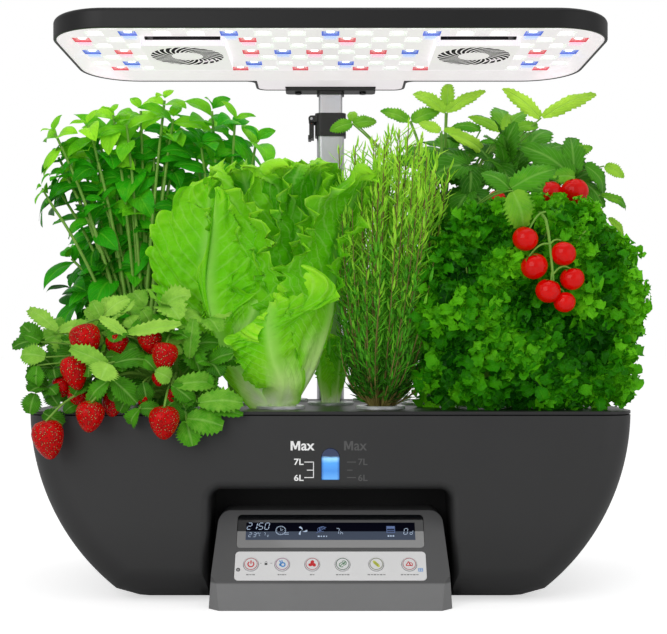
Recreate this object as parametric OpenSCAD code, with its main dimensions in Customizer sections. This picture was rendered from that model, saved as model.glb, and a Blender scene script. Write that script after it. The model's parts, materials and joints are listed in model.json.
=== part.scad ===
// Countertop hydroponic garden: a boat-shaped water tank with a deck of net pots,
// a control unit in a bay at its front, and a lamp head on a telescopic pole behind it.
// X runs to the right, Y to the back and Z up. The origin is on the surface that the
// garden stands on, under the middle of its overall length and depth.

/* [Tank] */
// Width of the tank across its rim
tank_w = 449; // [440:1:460]
// Depth of the tank from its front face to its back face
tank_d = 204; // [200:1:212]
// Height of the tank's rim above the surface
rim_z = 137; // [132:1:142]
// Radius of the curved ends of the tank
side_r = 170; // [168:1:176]
// Radius that rounds the front and back edges of the tank
edge_r = 25; // [20:1:28]
// Wall of the tank
tank_wall = 2.6; // [2.2:0.1:3.2]
// Height at which a curved end turns into the sloping toe
toe_h = 7; // [6:0.5:9]
// How far the toe runs in towards the floor of the tank
toe_in = 19; // [15:1:22]
// How far the feet stand out of the floor
foot_stand = 1.5; // [1:0.1:2.5]
// Diameter of a foot
foot_d = 18; // [14:1:22]
// How deep a foot is let into the floor
foot_sink = 1.2; // [0.8:0.1:1.4]

/* [Control bay] */
// Depth of the bay that takes the control unit
bay_d = 45; // [42:1:50]
// Width of the bay at the surface
bay_w = 181; // [179:1:190]
// Width of the bay at its top
bay_top_w = 176; // [174:1:180]
// Height of the bay
bay_h = 83; // [78:1:85]
// Radius of the bay's upper corners
bay_r = 8; // [6:1:12]
// Radius that rounds the mouth of the bay
mouth_r = 7; // [4:1:8]

/* [Water window] */
// Width of the water window
window_w = 13.6; // [10:0.2:18]
// Height of the window's lower edge
window_z = 90.2; // [88:0.2:94]
// Height of the window with its arch
window_h = 23.4; // [20:0.2:26]
// Width of the lip that holds the window behind the wall
window_lip = 2; // [1.5:0.1:3]

/* [Deck] */
// Thickness of the deck
deck_t = 3.3; // [3:0.1:4]
// Height of the shadow gap between tank and deck
reveal_h = 0.8; // [0.5:0.1:1.2]
// Depth of the shadow gap
reveal_d = 1.4; // [1:0.1:2]
// Height of the skirt that centres the deck in the tank
skirt_h = 8; // [5:1:12]
// Wall of the skirt
skirt_wall = 1.8; // [1.4:0.1:2.4]
// Gap between the skirt and the tank's wall
skirt_gap = 1; // [0.8:0.1:1.5]

/* [Net pots] */
// Distance between the pots of a row
pod_pitch = 77; // [74:1:80]
// Distance between the rows
row_pitch = 60; // [56:1:62]
// Distance of the first row from the tank's front face
row_front = 46; // [44:1:50]
// Diameter of a pot's flange
flange_d = 38; // [36:1:42]
// Thickness of the flange
flange_t = 2.2; // [1.8:0.1:2.6]
// Diameter of a pot under its flange
cup_d = 29; // [27:1:31]
// Diameter of a pot at its tip
cup_tip_d = 21; // [18:1:23]
// Length of a pot below the deck
cup_l = 40; // [36:1:42]
// Wall of a pot
cup_wall = 1.4; // [1.2:0.1:1.8]
// Width of a pot's root slots
slot_w = 3; // [2:0.5:4]
// Gap round a pot in its hole
cup_gap = 0.5; // [0.3:0.1:0.8]
// Gap round a sponge or a stem where it sits
soft_gap = 0.35; // [0.3:0.05:0.5]

/* [Fill port] */
// Diameter of the fill port
port_d = 31; // [28:1:32]
// Diameter of its lid
lid_d = 39; // [37:1:41]
// Thickness of the lid
lid_t = 2.2; // [1.8:0.1:2.6]
// Diameter of the lid's hinge pin
lid_pin_d = 2; // [1.8:0.1:2.2]

/* [Pole] */
// Depth of the column that holds the pole behind the tank
socket_out = 20; // [19:0.5:22]
// Width of the column
socket_w = 34; // [32:1:40]
// Height of the column
socket_h = 128; // [115:1:130]
// Width of the outer tube
pole_w = 24.5; // [23:0.5:26]
// Depth of the outer tube
pole_d = 16; // [15.5:0.25:16.5]
// Wall of the tubes
pole_wall = 1.3; // [1.1:0.1:1.5]
// Running gap between the inner and the outer tube
slide_gap = 0.25; // [0.2:0.05:0.4]
// Height at which the outer tube stands in the column
pole_foot = 46; // [42:1:60]
// Length of inner tube that stays in the outer tube at rest
inner_hold = 205; // [195:5:220]

/* [Clamp] */
// Height of the clamp's lower edge
clamp_z = 377; // [372:1:379]
// Height of the clamp
clamp_h = 20.4; // [18:0.2:22]
// Width of the clamp
clamp_w = 28; // [27.5:0.5:30]
// Depth of the clamp
clamp_d = 21; // [20:0.5:23]
// Thickness of the clamp's lever
lever_t = 4.2; // [3.4:0.1:4.6]
// Width of the lever
lever_w = 13.6; // [11:0.2:14]
// How far the lever's tab reaches below the clamp
lever_tab = 3; // [1:0.5:4]

/* [Lamp head] */
// Height of the lamp's rim above the surface
light_z = 420.6; // [418:0.2:424]
// Width of the lamp
light_w = 423.5; // [420:0.5:430]
// Depth of the lamp
light_d = 181.5; // [179:0.5:186]
// Thickness of the lamp
light_h = 15.3; // [15:0.1:16.5]
// Radius of the lamp's corners
light_r = 46; // [42:1:48]
// Rounding of the lamp's upper edge
light_edge = 3.6; // [2.5:0.1:4]
// Wall of the lamp's cover
light_wall = 2.2; // [1.8:0.1:2.6]
// Width of the tab over the pole
tab_w = 134; // [125:1:140]
// Depth of the recess that the diodes lie in
led_recess = 7.5; // [6.5:0.1:8]
// Width of the frame's flat border
border_w = 2; // [1.6:0.1:3]
// Width of the frame's sloping border
slope_w = 5.4; // [4:0.2:5.6]
// Thickness of the frame behind the diodes
pan_t = 2; // [1.6:0.1:2.2]
// Thickness of the diodes' board
board_t = 1.2; // [1:0.1:1.6]

/* [Diodes] */
// Distance between diodes along a row
led_pitch = 26; // [25.5:0.5:27]
// Distance between rows of diodes
led_row = 19.5; // [19:0.1:19.6]
// Distance of the first row from the lamp's front
led_front = 27; // [26:0.5:28]
// Number of rows
led_rows = 8; // [6:1:8]
// Width of a diode's tray at its mouth
tray_w = 14; // [12:0.2:14.4]
// Width of a tray at its floor
tray_floor = 8; // [7:0.5:10]
// Width of a diode
led_w = 5; // [3.5:0.5:6]
// Height of a diode
led_t = 0.8; // [0.6:0.1:1.2]

/* [Fans] */
// Distance of a fan from the middle of the lamp
fan_x = 115; // [113:1:117]
// Width of a fan's cover
cover_w = 66; // [64:1:68]
// Length of a fan's cover
cover_l = 82; // [78:1:84]
// Distance of the covers from the lamp's front
cover_front = 55; // [54.5:0.5:56]
// Wall of a fan's cover
cover_wall = 1.6; // [1.2:0.1:2]
// Diameter of the slotted grille
grille_d = 58; // [54:1:60]
// Diameter of the grille's plain hub
grille_hub_d = 25; // [18:1:27]
// Number of swirled slots
grille_slots = 24; // [16:2:28]
// Turn of a slot from its inner to its outer end, in degrees
grille_swirl = 38; // [20:1:50]
// Share of the pitch that a slot takes
slot_share = 0.68; // [0.45:0.01:0.7]
// Diameter of the rotor
rotor_d = 51; // [46:1:52]
// Height of the rotor
rotor_h = 7.6; // [6:0.2:8]
// Diameter of the rotor's hub
hub_d = 21; // [18:1:24]
// Number of blades
blades = 7; // [5:1:9]
// Diameter of the rotor's shaft
shaft_d = 2; // [1.6:0.1:2.4]
// Running gap of every shaft in its bore
shaft_gap = 0.05; // [0.03:0.01:0.08]

/* [Control unit] */
// How far the control unit stands out of the tank's front face
ctl_out = 24; // [22:0.5:26]
// Width of the control unit at the surface
ctl_w = 174.6; // [172:0.2:176]
// Width of the control unit at its top
ctl_top_w = 166; // [162:1:168]
// Height of its front face
ctl_front_h = 19.4; // [17:0.2:22]
// How far the front face leans back
ctl_lean = 2; // [1:0.5:3]
// Run of the sloping face towards the back
ctl_run = 38; // [37:0.5:40]
// Height of the control unit
ctl_h = 66; // [64.5:0.5:68]
// Wall of the control unit
ctl_wall = 3; // [2.6:0.1:3.4]
// Radius of its upper corners
ctl_r = 8.8; // [6:0.2:10]
// Bevel of the front's upright corners
ctl_bevel = 8; // [5:0.5:10]
// Width of the display's glass
glass_w = 136.8; // [130:0.2:138]
// Length of the glass up the slope
glass_l = 27.8; // [25:0.2:28.2]
// Thickness of glass and button plate
plate_t = 2; // [1.8:0.1:2.2]
// How far glass and plate stand proud
plate_proud = 0.2; // [0.1:0.1:0.4]
// Width of the button plate
plate_w = 137.6; // [136:0.2:140]
// Length of the button plate up the slope
plate_l = 23.4; // [22.6:0.2:24.6]
// Distance of the plate from the lower edge of the slope
plate_s = 2; // [1.5:0.1:2.5]
// Distance between plate and glass
plate_space = 3; // [2.5:0.1:4]
// Diameter of a button
button_d = 10.6; // [9.6:0.1:11]
// How far a button stands out of the plate
button_proud = 0.8; // [0.7:0.1:1.2]
// Travel of a button
button_travel = 0.5; // [0.3:0.1:0.6]
// Gap round a button
button_gap = 0.3; // [0.2:0.05:0.4]

/* [Pump] */
// Length of the pump along the tank
pump_l = 44; // [40:1:48]
// Width of the pump
pump_w = 30; // [28:1:34]
// Height of the pump
pump_h = 28; // [26:1:32]
// Diameter of the impeller
impeller_d = 17; // [15:0.5:18]
// Diameter of the riser
riser_d = 9; // [8:0.5:11]
// Width of the cable duct under the tank
duct_w = 12; // [10:1:16]
// Height of the cable duct
duct_h = 8; // [7:0.5:9]

/* [Hidden] */

eps = 0.01;
slice_t = 0.2;                             // thickness of a slice that a form is lofted through
over = 1;                                  // how far a cut runs past a face
round_fn = 48;
soft_fn = 20;                              // facets round a plant
cherry_r = 9.4;
berry_r = 10;
berry_tip = 14;
arc_n = 14;                                // steps along an arc of an outline
corner_n = 10;                             // steps round a corner

total_d = ctl_out + tank_d + socket_out;
front_y = ctl_out - total_d / 2;
rear_y = front_y + tank_d;
deck_z = rim_z + deck_t;
arc_x = tank_w / 2 - side_r;               // centre of a curved end
toe_a = asin((deck_z - toe_h) / side_r);
toe_x = arc_x + side_r * cos(toe_a);
cut_room = 20;                             // how far forms run past the rim, where they are cut
tank_top = rim_z + edge_r + cut_room;
bay_y = front_y + bay_d;
foot_x = tank_w / 4;
foot_y = tank_d / 4;
port_x = 2 * pod_pitch;
lid_gap = 0.3;
lid_knuckle_r = lid_pin_d / 2 + 1.2;
lid_axis_z = deck_z + lid_knuckle_r + lid_gap;
lid_ear_w = 2.6;
lid_knuckle_l = 10;

pole_y = rear_y + 0.4 + pole_d / 2;
pole_r = 4.5;
inner_w = pole_w - 2 * (pole_wall + slide_gap);
inner_d = pole_d - 2 * (pole_wall + slide_gap);
inner_r = pole_r - pole_wall - slide_gap;
fit_gap = 0.15;                            // gap of pieces that are pushed together
clamp_top = clamp_z + clamp_h;
pole_top = clamp_top - 3;
lever_r = 2.8;
lever_gap = 0.3;
lever_x = -clamp_w / 2 - lever_gap - lever_r;
lever_pin_z = clamp_top - 5;
lever_pin_r = 1.2;
ear_w = 2.4;

light_y = front_y + light_d / 2;           // middle of the lamp
light_top = light_z + light_h;
ceiling_z = light_top - light_wall;
led_z = light_z + led_recess;
pan_top = led_z + pan_t;
board_top = pan_top + board_t;
tab_y = pole_y + pole_d / 2 - 2;
tab_r = 10;
tab_lift = 0.4;                            // rim of the frame above the rim of the cover
tab_plate_t = 1.4;                         // white plate under the tab
tab_join = 0.9;                            // how far it runs into the frame's border
tab_slots = [46, 56];                      // drain slots in that plate, from the middle
tab_slot = [5, 1.8];
tab_slot_in = 4;
bracket_t = 3;
bracket_w = 81;
sleeve_h = 3;
sleeve_wall = 1.5;
cover_y = front_y + cover_front + cover_l / 2;
cover_gap = 0.2;
frame_post_d = 5.6;                        // posts in the cover that the white frame is held by
frame_post_in = light_wall + cover_gap + frame_post_d / 2 + 0.4;
fan_y = front_y + cover_front + 5 + grille_d / 2;
plate_z = light_z + 0.2;                   // underside of a fan's cover
rotor_z = plate_z + cover_wall + 0.8;
fan_base_t = ceiling_z - rotor_z - rotor_h - 0.7;
vent_h = 3.4;                              // slot across the front of a fan's cover
vent_in = 3.4;
vent_drop = 3;
duct_ring_wall = 1.2;
duct_ring_d = rotor_d + 4;
blade_t = 1.1;
blade_chord = 12;
blade_pitch = 32;

slope_y = front_y - ctl_out + ctl_lean;
slope_a = atan2(ctl_h - ctl_front_h, ctl_run);
ctl_gap = 0.2;
recess_d = plate_t - plate_proud;
plate_r = 3;
glass_s = plate_s + plate_l + plate_space;
button_s = plate_s + plate_l * 0.55;
button_x = [-57.2, -34.7, -13.1, 8.7, 32.9, 56.6];
button_rim = 1.3;
button_rim_t = 0.8;
lcd_w = 124;
lcd_l = 15.6;
lcd_t = 2;
pcb_w = 146;
pcb_l = 48;
pcb_t = 1.6;
pcb_drop = ctl_wall + 4.2;                 // from the sloping face to the board
switch_d = 4;
post_d = 5;

floor_z = foot_stand + tank_wall;          // inner floor of the tank
pump_x = -86;
pump_behind = 32;                          // from the middle row of pots to the pump
pump_y = front_y + row_front + row_pitch + pump_behind;
impeller_h = 8;
impeller_gap = 0.6;
volute_wall = 2;
impeller_z = floor_z + 12;
riser_wall = 1.2;
riser_drop = 30;                           // from the deck to the riser's mouth
riser_top = deck_z - riser_drop;
duct_wall = 2;
jack_z = 24;
jack_d = 11;
jack_l = 13;
jack_bore_d = 6.4;
jack_pin_d = 2;

cup_r = cup_d / 2;
tip_r = cup_tip_d / 2;
sponge_top = deck_z + flange_t - 1;
stem_z = sponge_top + soft_gap;
planned_pitch = 77;                        // pitch and room that the plants' forms are written for
planned_room = 278.75;
spread = pod_pitch / planned_pitch;        // plants grow with the pots' pitch
tall = (light_z - stem_z) / planned_room;  // and with the room under the lamp

function row_y(row) = front_y + row_front + row * row_pitch;
strawberry_at = [-1.5 * pod_pitch, row_y(0)];
lettuce_at = [-0.5 * pod_pitch, row_y(0)];
rosemary_at = [0.5 * pod_pitch, row_y(0)];
parsley_at = [1.5 * pod_pitch, row_y(0)];
baby_at = [0, row_y(1)];
fixed_pods = [parsley_at, [-2 * pod_pitch, row_y(1)], [-pod_pitch, row_y(1)],
    [pod_pitch, row_y(1)], [-1.5 * pod_pitch, row_y(2)], [-0.5 * pod_pitch, row_y(2)],
    [0.5 * pod_pitch, row_y(2)], [1.5 * pod_pitch, row_y(2)]];
lift_pods = [strawberry_at, lettuce_at, rosemary_at, baby_at];

// Diodes by row and by half pitch from the middle of the lamp
blue_spots = [[1, 0], [1, 6], [1, -6], [1, 12], [1, -12], [4, -15], [4, -3], [4, 5], [4, 15],
    [6, -13], [6, -5], [6, 1], [6, 13]];
red_spots = [[2, 1], [2, -5], [2, 15], [2, -15], [4, 13], [4, -13], [4, -5], [4, -1], [4, 3],
    [7, 14], [7, -14], [7, 6], [7, -6], [7, 2], [7, -2]];
function holds(list, item) = len([for (e = list) if (e == item) e]) > 0;
function spot_x(spot) = spot[1] * led_pitch / 2;
function spot_d(spot) = led_front + spot[0] * led_row;
recess_in = light_wall + border_w + slope_w;
recess_r = light_r * 0.44;
function corner_miss(spot) =
    let (dx = abs(spot_x(spot)) + tray_w / 2 - (light_w / 2 - recess_in - recess_r),
        dy = abs(spot_d(spot) - light_d / 2) + tray_w / 2
            - (light_d / 2 - recess_in - recess_r))
    norm([max(dx, 0), max(dy, 0)]) > recess_r;
function fan_miss(spot) =
    abs(abs(spot_x(spot)) - fan_x) < (cover_w + tray_w) / 2
    && abs(spot_d(spot) - cover_front - cover_l / 2) < (cover_l + tray_w) / 2;
led_spots = [for (row = [0:led_rows - 1], step = [-8:8])
    let (spot = [row, 2 * step + (row % 2 == 0 ? 1 : 0)])
    if (!corner_miss(spot) && !fan_miss(spot)) spot];

// Points of a rectangle with round corners, about the origin
function rounded(w, d, r) = [for (q = [0:3], i = [0:corner_n])
    let (a = 90 * q + 90 * i / corner_n,
        sx = (q == 0 || q == 3) ? 1 : -1, sy = (q < 2) ? 1 : -1)
    [sx * (w / 2 - r) + r * cos(a), sy * (d / 2 - r) + r * sin(a)]];

module bar(w, d, r, z0, z1) {
    translate([0, 0, z0]) linear_extrude(z1 - z0) polygon(rounded(w, d, r));
}

// ---------------------------------------------------------------- tank
// Front outline of the tank, moved in by the inset: two arcs that turn into sloping toes
function silhouette(inset) = let (r = side_r - inset, base = toe_x - toe_in - inset * 0.6,
        arc = [for (i = [0:arc_n]) let (a = -toe_a * (1 - i / arc_n))
            [arc_x + r * cos(a), deck_z + r * sin(a)]])
    concat([[base, foot_stand + inset]], arc, [[arc_x + r, tank_top], [-arc_x - r, tank_top]],
        [for (i = [arc_n:-1:0]) [-arc[i][0], arc[i][1]]], [[-base, foot_stand + inset]]);

// The tank's body, or its hollow when inset by the wall
module tank_form(inset) {
    round_r = edge_r - inset;
    hull() {
        tank_slab(inset, front_y + edge_r, rear_y - edge_r);
        for (a = [22.5:22.5:90]) {
            depth = inset + round_r * (1 - sin(a));
            moved = inset + round_r * (1 - cos(a));
            tank_slab(moved, front_y + depth, front_y + depth + slice_t);
            tank_slab(moved, rear_y - depth - slice_t, rear_y - depth);
        }
    }
}

module tank_slab(inset, y0, y1) {
    translate([0, y1, 0]) rotate([90, 0, 0]) linear_extrude(y1 - y0)
        polygon(silhouette(inset));
}

function bay_outline(grow) = let (top = bay_h + grow, low = bay_w / 2 + grow,
        high = bay_top_w / 2 + grow, r = bay_r + grow)
    concat([[low, -over]],
        [for (i = [0:6]) [high - r + r * cos(15 * i), top - r + r * sin(15 * i)]],
        [for (i = [6:-1:0]) [r - high - r * cos(15 * i), top - r + r * sin(15 * i)]],
        [[-low, -over]]);

module bay_slice(grow, y0, y1) {
    translate([0, y1, 0]) rotate([90, 0, 0]) linear_extrude(y1 - y0)
        polygon(bay_outline(grow));
}

// The mouth's edge is rounded in steps, each a slice that is wider towards the front
module bay_mouth() {
    steps = 3;
    for (i = [0:steps - 1]) hull() for (j = [i, i + 1]) {
        depth = mouth_r * j / steps;
        flare = mouth_r - sqrt(mouth_r * mouth_r - pow(mouth_r - depth, 2));
        bay_slice(flare + eps, front_y + depth - (j == 0 ? over : slice_t), front_y + depth);
    }
}

module window_shape(grow, y0, y1) {
    r = window_w / 2 + grow;
    translate([0, y1, 0]) rotate([90, 0, 0]) linear_extrude(y1 - y0) {
        translate([0, window_z + window_h - window_w / 2]) circle(r, $fn = round_fn);
        translate([-r, window_z - grow])
            square([2 * r, window_h - window_w / 2 + grow]);
    }
}

module duct(grow) {
    top = duct_h + foot_stand;
    translate([-duct_w / 2 - grow, bay_y - over, -over])
        cube([duct_w + 2 * grow, rear_y - bay_y + 2 * over, top + over + grow]);
}

module at_feet() {
    for (sx = [-1, 1], sy = [-1, 1])
        translate([sx * foot_x, (front_y + rear_y) / 2 + sy * foot_y, 0]) children();
}

module tank() {
    color("#3b3b3c") difference() {
        tank_form(0);
        difference() {
            tank_form(tank_wall);
            bay_slice(tank_wall, front_y - over, bay_y + tank_wall);
            duct(duct_wall);
        }
        bay_slice(0, front_y - over, bay_y);
        bay_mouth();
        duct(0);
        window_shape(0, front_y - over, front_y + tank_wall + over);
        translate([-tank_w, -tank_d, rim_z]) cube([2 * tank_w, 2 * tank_d, tank_top]);
        at_feet() cylinder(d = foot_d + 2 * ctl_gap, h = foot_stand + foot_sink, $fn = round_fn);
    }
}

module water_window() {
    color("#2f7fd8") union() {
        window_shape(-fit_gap, front_y + 0.6, front_y + tank_wall + eps);
        window_shape(window_lip, front_y + tank_wall, front_y + tank_wall + 1.6);
    }
}

module tank_feet() {
    color("#222222") at_feet() cylinder(d = foot_d, h = foot_stand + foot_sink, $fn = round_fn);
}

// ---------------------------------------------------------------- deck
module deck_slab(inset, z0, z1) {
    translate([0, (front_y + rear_y) / 2, 0])
        bar(tank_w - 2 * inset, tank_d - 2 * inset, edge_r - inset, z0, z1);
}

module deck() {
    skirt_in = tank_wall + skirt_gap;
    color("#333334") difference() {
        union() {
            deck_slab(0, rim_z + reveal_h, deck_z);
            deck_slab(reveal_d, rim_z, rim_z + reveal_h + eps);
            difference() {
                deck_slab(skirt_in, rim_z - skirt_h, rim_z + eps);
                deck_slab(skirt_in + skirt_wall, rim_z - skirt_h - over, rim_z - eps);
            }
            lid_ears();
        }
        for (at = concat(fixed_pods, lift_pods)) translate([at[0], at[1], rim_z - over])
            cylinder(r = cup_r + cup_gap, h = deck_t + 2 * over, $fn = round_fn);
        translate([port_x, row_y(1), rim_z - over])
            cylinder(d = port_d, h = deck_t + 2 * over, $fn = round_fn);
    }
}

module at_lid_hinge() {
    translate([port_x, row_y(1) + lid_d / 2 + lid_knuckle_r, lid_axis_z]) rotate([0, 90, 0])
        children();
}

module lid_ears() {
    half = lid_knuckle_l / 2 + lid_gap;
    at_lid_hinge() for (s = [-1, 1]) translate([0, 0, s * (half + lid_ear_w / 2)]) {
        cylinder(r = lid_knuckle_r, h = lid_ear_w, center = true, $fn = round_fn);
        translate([0, -lid_knuckle_r, -lid_ear_w / 2])
            cube([lid_axis_z - deck_z + eps, 2 * lid_knuckle_r, lid_ear_w]);
    }
    at_lid_hinge() cylinder(d = lid_pin_d, h = 2 * half + eps, center = true, $fn = round_fn);
}

module fill_lid() {
    z0 = deck_z + lid_gap;
    color("#2b2b2c") difference() {
        union() {
            translate([port_x, row_y(1), z0]) cylinder(d = lid_d, h = lid_t, $fn = round_fn);
            translate([port_x - lid_knuckle_l / 2, row_y(1), z0])
                cube([lid_knuckle_l, lid_d / 2 + lid_knuckle_r, lid_t]);
            at_lid_hinge() cylinder(r = lid_knuckle_r, h = lid_knuckle_l, center = true,
                $fn = round_fn);
            translate([port_x, row_y(1) - lid_d / 2 + 3, z0 + lid_t])
                cube([12, 2.4, 2], center = true);
        }
        at_lid_hinge() cylinder(r = lid_pin_d / 2 + shaft_gap, h = 2 * lid_knuckle_l,
            center = true, $fn = round_fn);
    }
}

// ---------------------------------------------------------------- net pots
function cup_in(z) = tip_r - cup_wall
    + (cup_r - tip_r) * (z - deck_z + cup_l - cup_wall) / (cup_l - cup_wall + flange_t);

module net_cup(at) {
    translate([at[0], at[1], deck_z]) difference() {
        rotate_extrude($fn = round_fn) polygon([[0, -cup_l], [tip_r, -cup_l], [cup_r, -over],
            [cup_r, 0], [flange_d / 2, 0], [flange_d / 2, flange_t - 0.6],
            [flange_d / 2 - 0.6, flange_t], [cup_r - cup_wall, flange_t],
            [tip_r - cup_wall, cup_wall - cup_l], [0, cup_wall - cup_l]]);
        for (i = [0:3]) rotate([0, 0, 45 * i])
            translate([-cup_r, -slot_w / 2, 5 - cup_l]) cube([2 * cup_r, slot_w, cup_l - 12]);
        cylinder(d = slot_w * 2, h = 3 * cup_l, center = true, $fn = round_fn);
    }
}

module grow_sponge(at) {
    z0 = deck_z - cup_l + cup_wall + soft_gap;
    translate([at[0], at[1], z0]) cylinder(r1 = cup_in(z0) - soft_gap,
        r2 = cup_in(sponge_top) - soft_gap, h = sponge_top - z0, $fn = round_fn);
}

module net_cup_strawberry() { color("#c9ccd0") net_cup(strawberry_at); }
module net_cup_lettuce() { color("#c9ccd0") net_cup(lettuce_at); }
module net_cup_rosemary() { color("#c9ccd0") net_cup(rosemary_at); }
module net_cup_baby_lettuce() { color("#c9ccd0") net_cup(baby_at); }
module net_cups() { color("#c9ccd0") for (at = fixed_pods) net_cup(at); }
module sponge_strawberry() { color("#4a3a2c") grow_sponge(strawberry_at); }
module sponge_lettuce() { color("#4a3a2c") grow_sponge(lettuce_at); }
module sponge_rosemary() { color("#4a3a2c") grow_sponge(rosemary_at); }
module sponge_baby_lettuce() { color("#4a3a2c") grow_sponge(baby_at); }
module grow_sponges() { color("#4a3a2c") for (at = fixed_pods) grow_sponge(at); }

// ---------------------------------------------------------------- plants
// A plant's mass is lofted through flat ovals; each station is [x, y, height, x radius, y radius],
// with x and y from its pot and the height from the sponge, for the planned pitch and lamp height
function from_pot(at, s) = [at[0] + spread * s[0], at[1] + spread * s[1], stem_z + tall * s[2]];

module soft_form(at, stations) {
    for (i = [0:len(stations) - 2]) hull() for (s = [stations[i], stations[i + 1]])
        translate(from_pot(at, s)) scale([spread * s[3], spread * s[4], 1])
            cylinder(r = 1, h = 0.4, $fn = soft_fn);
}

module fruit(at, s, r, tip) {
    translate(from_pot(at, s)) hull() {
        sphere(r = r, $fn = 12);
        translate([0, 0, -tip]) sphere(r = r * 0.4, $fn = 8);
    }
}

module lettuce() {
    color("#8fcf3c") soft_form(lettuce_at, [[0, 0, 0, 9, 9], [0, -2, 23, 26, 22],
        [-3, -4, 58, 42, 33], [-8, -5, 92, 56, 37], [-15, -5, 116, 73, 39],
        [-15, -5, 168, 74, 39], [-12, -5, 190, 58, 32]]);
}

module rosemary() {
    color("#5f9e2f") soft_form(rosemary_at, [[0, 0, 0, 8, 8], [2, 0, 38, 19, 20],
        [13, -2, 103, 27, 32], [15, -2, 188, 30, 34], [15, -2, 220, 20, 24]]);
}

module parsley() {
    color("#3f8f1f") soft_form(parsley_at, [[0, 0, 0, 10, 10], [0, 0, 1.4, 10, 10],
        [29, -4, 6, 76, 42], [29, -2, 33, 79, 42], [34, 0, 88, 72, 38], [37, 2, 143, 66, 34],
        [37, 4, 154, 50, 26]]);
}

module baby_lettuce() {
    color("#9bd04a") soft_form(baby_at, [[0, 0, 0, 7, 7], [0, -1, 26, 18, 14],
        [0, -1, 42, 20, 15], [0, -1, 47, 12, 9]]);
}

module strawberry_plant() {
    color("#3f8a24") union() {
        soft_form(strawberry_at, [[0, 0, 0, 8, 8], [0, 0, 1.4, 8, 8],
            [-36, -12, 6, 67, 50], [-43, -12, 34, 63, 50], [-50, -12, 58, 56, 44], [-52, -12, 76, 36, 30]]);
        soft_form(strawberry_at, [[-40, -58, -23, 58, 8], [-40, -58, 6, 62, 9]]);
    }
    color("#c8202a") for (b = [[-90, -59, -14], [-56, -59, -6], [-5, -59, -10]])
        fruit(strawberry_at, b, spread * berry_r, spread * berry_tip);
}

module basil() {
    near = [-pod_pitch, row_y(1)];
    far = [-2 * pod_pitch, row_y(1)];
    color("#4fae2c") union() {
        soft_form(near, [[0, 0, 0, 3.5, 3.5], [-24, 8, 90, 4, 4], [-40, 16, 150, 6, 6]]);
        soft_form(far, [[0, 0, 0, 3.5, 3.5], [4, 8, 66, 4, 4]]);
        soft_form(far, [[2, 20, 60, 26, 16], [2, 24, 84, 44, 27], [4, 26, 150, 46, 28],
            [4, 28, 178, 74, 34], [4, 28, 228, 74, 35], [12, 28, 255, 50, 22]]);
        soft_form(far, [[-42, 4, 70, 14, 10], [-44, 6, 88, 26, 20], [-44, 6, 108, 26, 20],
            [-42, 8, 122, 14, 10]]);
    }
}

module tomato_plant() {
    at = [pod_pitch, row_y(1)];
    truss = [[65, -110, 125], [72, -110, 105], [93, -110, 113], [99, -110, 96], [81, -110, 87],
        [94, -110, 78]];
    behind = [[114, -26, 168], [95, -26, 167], [54, -26, 163]];
    color("#4c9a2a") union() {
        soft_form(at, [[0, 0, 0, 4, 4], [3, 2, 88, 5, 5], [20, 8, 122, 10, 8], [46, 12, 136, 36, 20],
            [62, 14, 158, 60, 34], [62, 14, 200, 63, 36], [56, 14, 236, 58, 34], [50, 14, 257, 38, 22]]);
        soft_form(at, [[-22, 14, 196, 16, 12], [-24, 14, 208, 38, 20], [-20, 14, 246, 42, 22],
            [-12, 14, 259, 26, 14]]);
        soft_form(at, [[120, -2, 154, 14, 10], [119, -2, 170, 28, 20], [119, -2, 218, 28, 22],
            [119, -2, 236, 15, 12]]);
        soft_form(at, [[80, 0, 168, 3, 3], [80, -56, 177, 3, 3], [80, -105, 160, 2.5, 2.5],
            [81, -110, 76, 2.5, 2.5]]);
    }
    color("#d8281e") union() {
        for (f = concat(truss, behind)) translate(from_pot(at, f))
            sphere(r = spread * cherry_r, $fn = 10);
        for (f = truss) stalk(from_pot(at, f), from_pot(at, [81, f[1], f[2] + 6]));
        for (f = behind) stalk(from_pot(at, f), from_pot(at, [f[0] - 10, 0, f[2] + 10]));
    }
}

module stalk(from, to) {
    hull() for (p = [from, to]) translate(p) sphere(r = 1.5, $fn = 6);
}

// ---------------------------------------------------------------- pole
module pole_socket() {
    in_w = pole_w + 2 * fit_gap;
    in_y = pole_y + pole_d / 2 + fit_gap;
    color("#2b2b2c") difference() {
        translate([0, 0, foot_stand]) linear_extrude(socket_h - foot_stand)
            polygon([[-socket_w / 2, rear_y], [socket_w / 2, rear_y],
                for (i = [0:6]) [socket_w / 2 - 5 + 5 * cos(15 * i),
                    rear_y + socket_out - 5 + 5 * sin(15 * i)],
                for (i = [6:-1:0]) [5 - socket_w / 2 - 5 * cos(15 * i),
                    rear_y + socket_out - 5 + 5 * sin(15 * i)]]);
        translate([-in_w / 2, rear_y - over, pole_foot])
            cube([in_w, in_y - rear_y + over, socket_h]);
        translate([-duct_w / 2, rear_y - over, foot_stand + 2])
            cube([duct_w, socket_out - 3 + over, pole_foot - foot_stand - 5]);
        at_jack() cylinder(d = jack_d + 2 * fit_gap, h = socket_w, $fn = round_fn);
    }
}

// The inlet lies across the column and opens to its right side
module at_jack() {
    translate([socket_w / 2 - jack_l, rear_y + socket_out / 2, jack_z]) rotate([0, 90, 0])
        children();
}

module power_socket() {
    color("#161616") difference() {
        at_jack() cylinder(d = jack_d, h = jack_l, $fn = round_fn);
        at_jack() translate([0, 0, 3]) difference() {
            cylinder(d = jack_bore_d, h = jack_l, $fn = round_fn);
            cylinder(d = jack_pin_d, h = jack_l - 5, $fn = round_fn);
        }
    }
}

module outer_tube() {
    color("#c4c7ca") translate([0, pole_y, 0]) difference() {
        bar(pole_w, pole_d, pole_r, pole_foot, pole_top);
        bar(pole_w - 2 * pole_wall, pole_d - 2 * pole_wall, pole_r - pole_wall,
            pole_foot - over, pole_top + over);
    }
}

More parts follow.
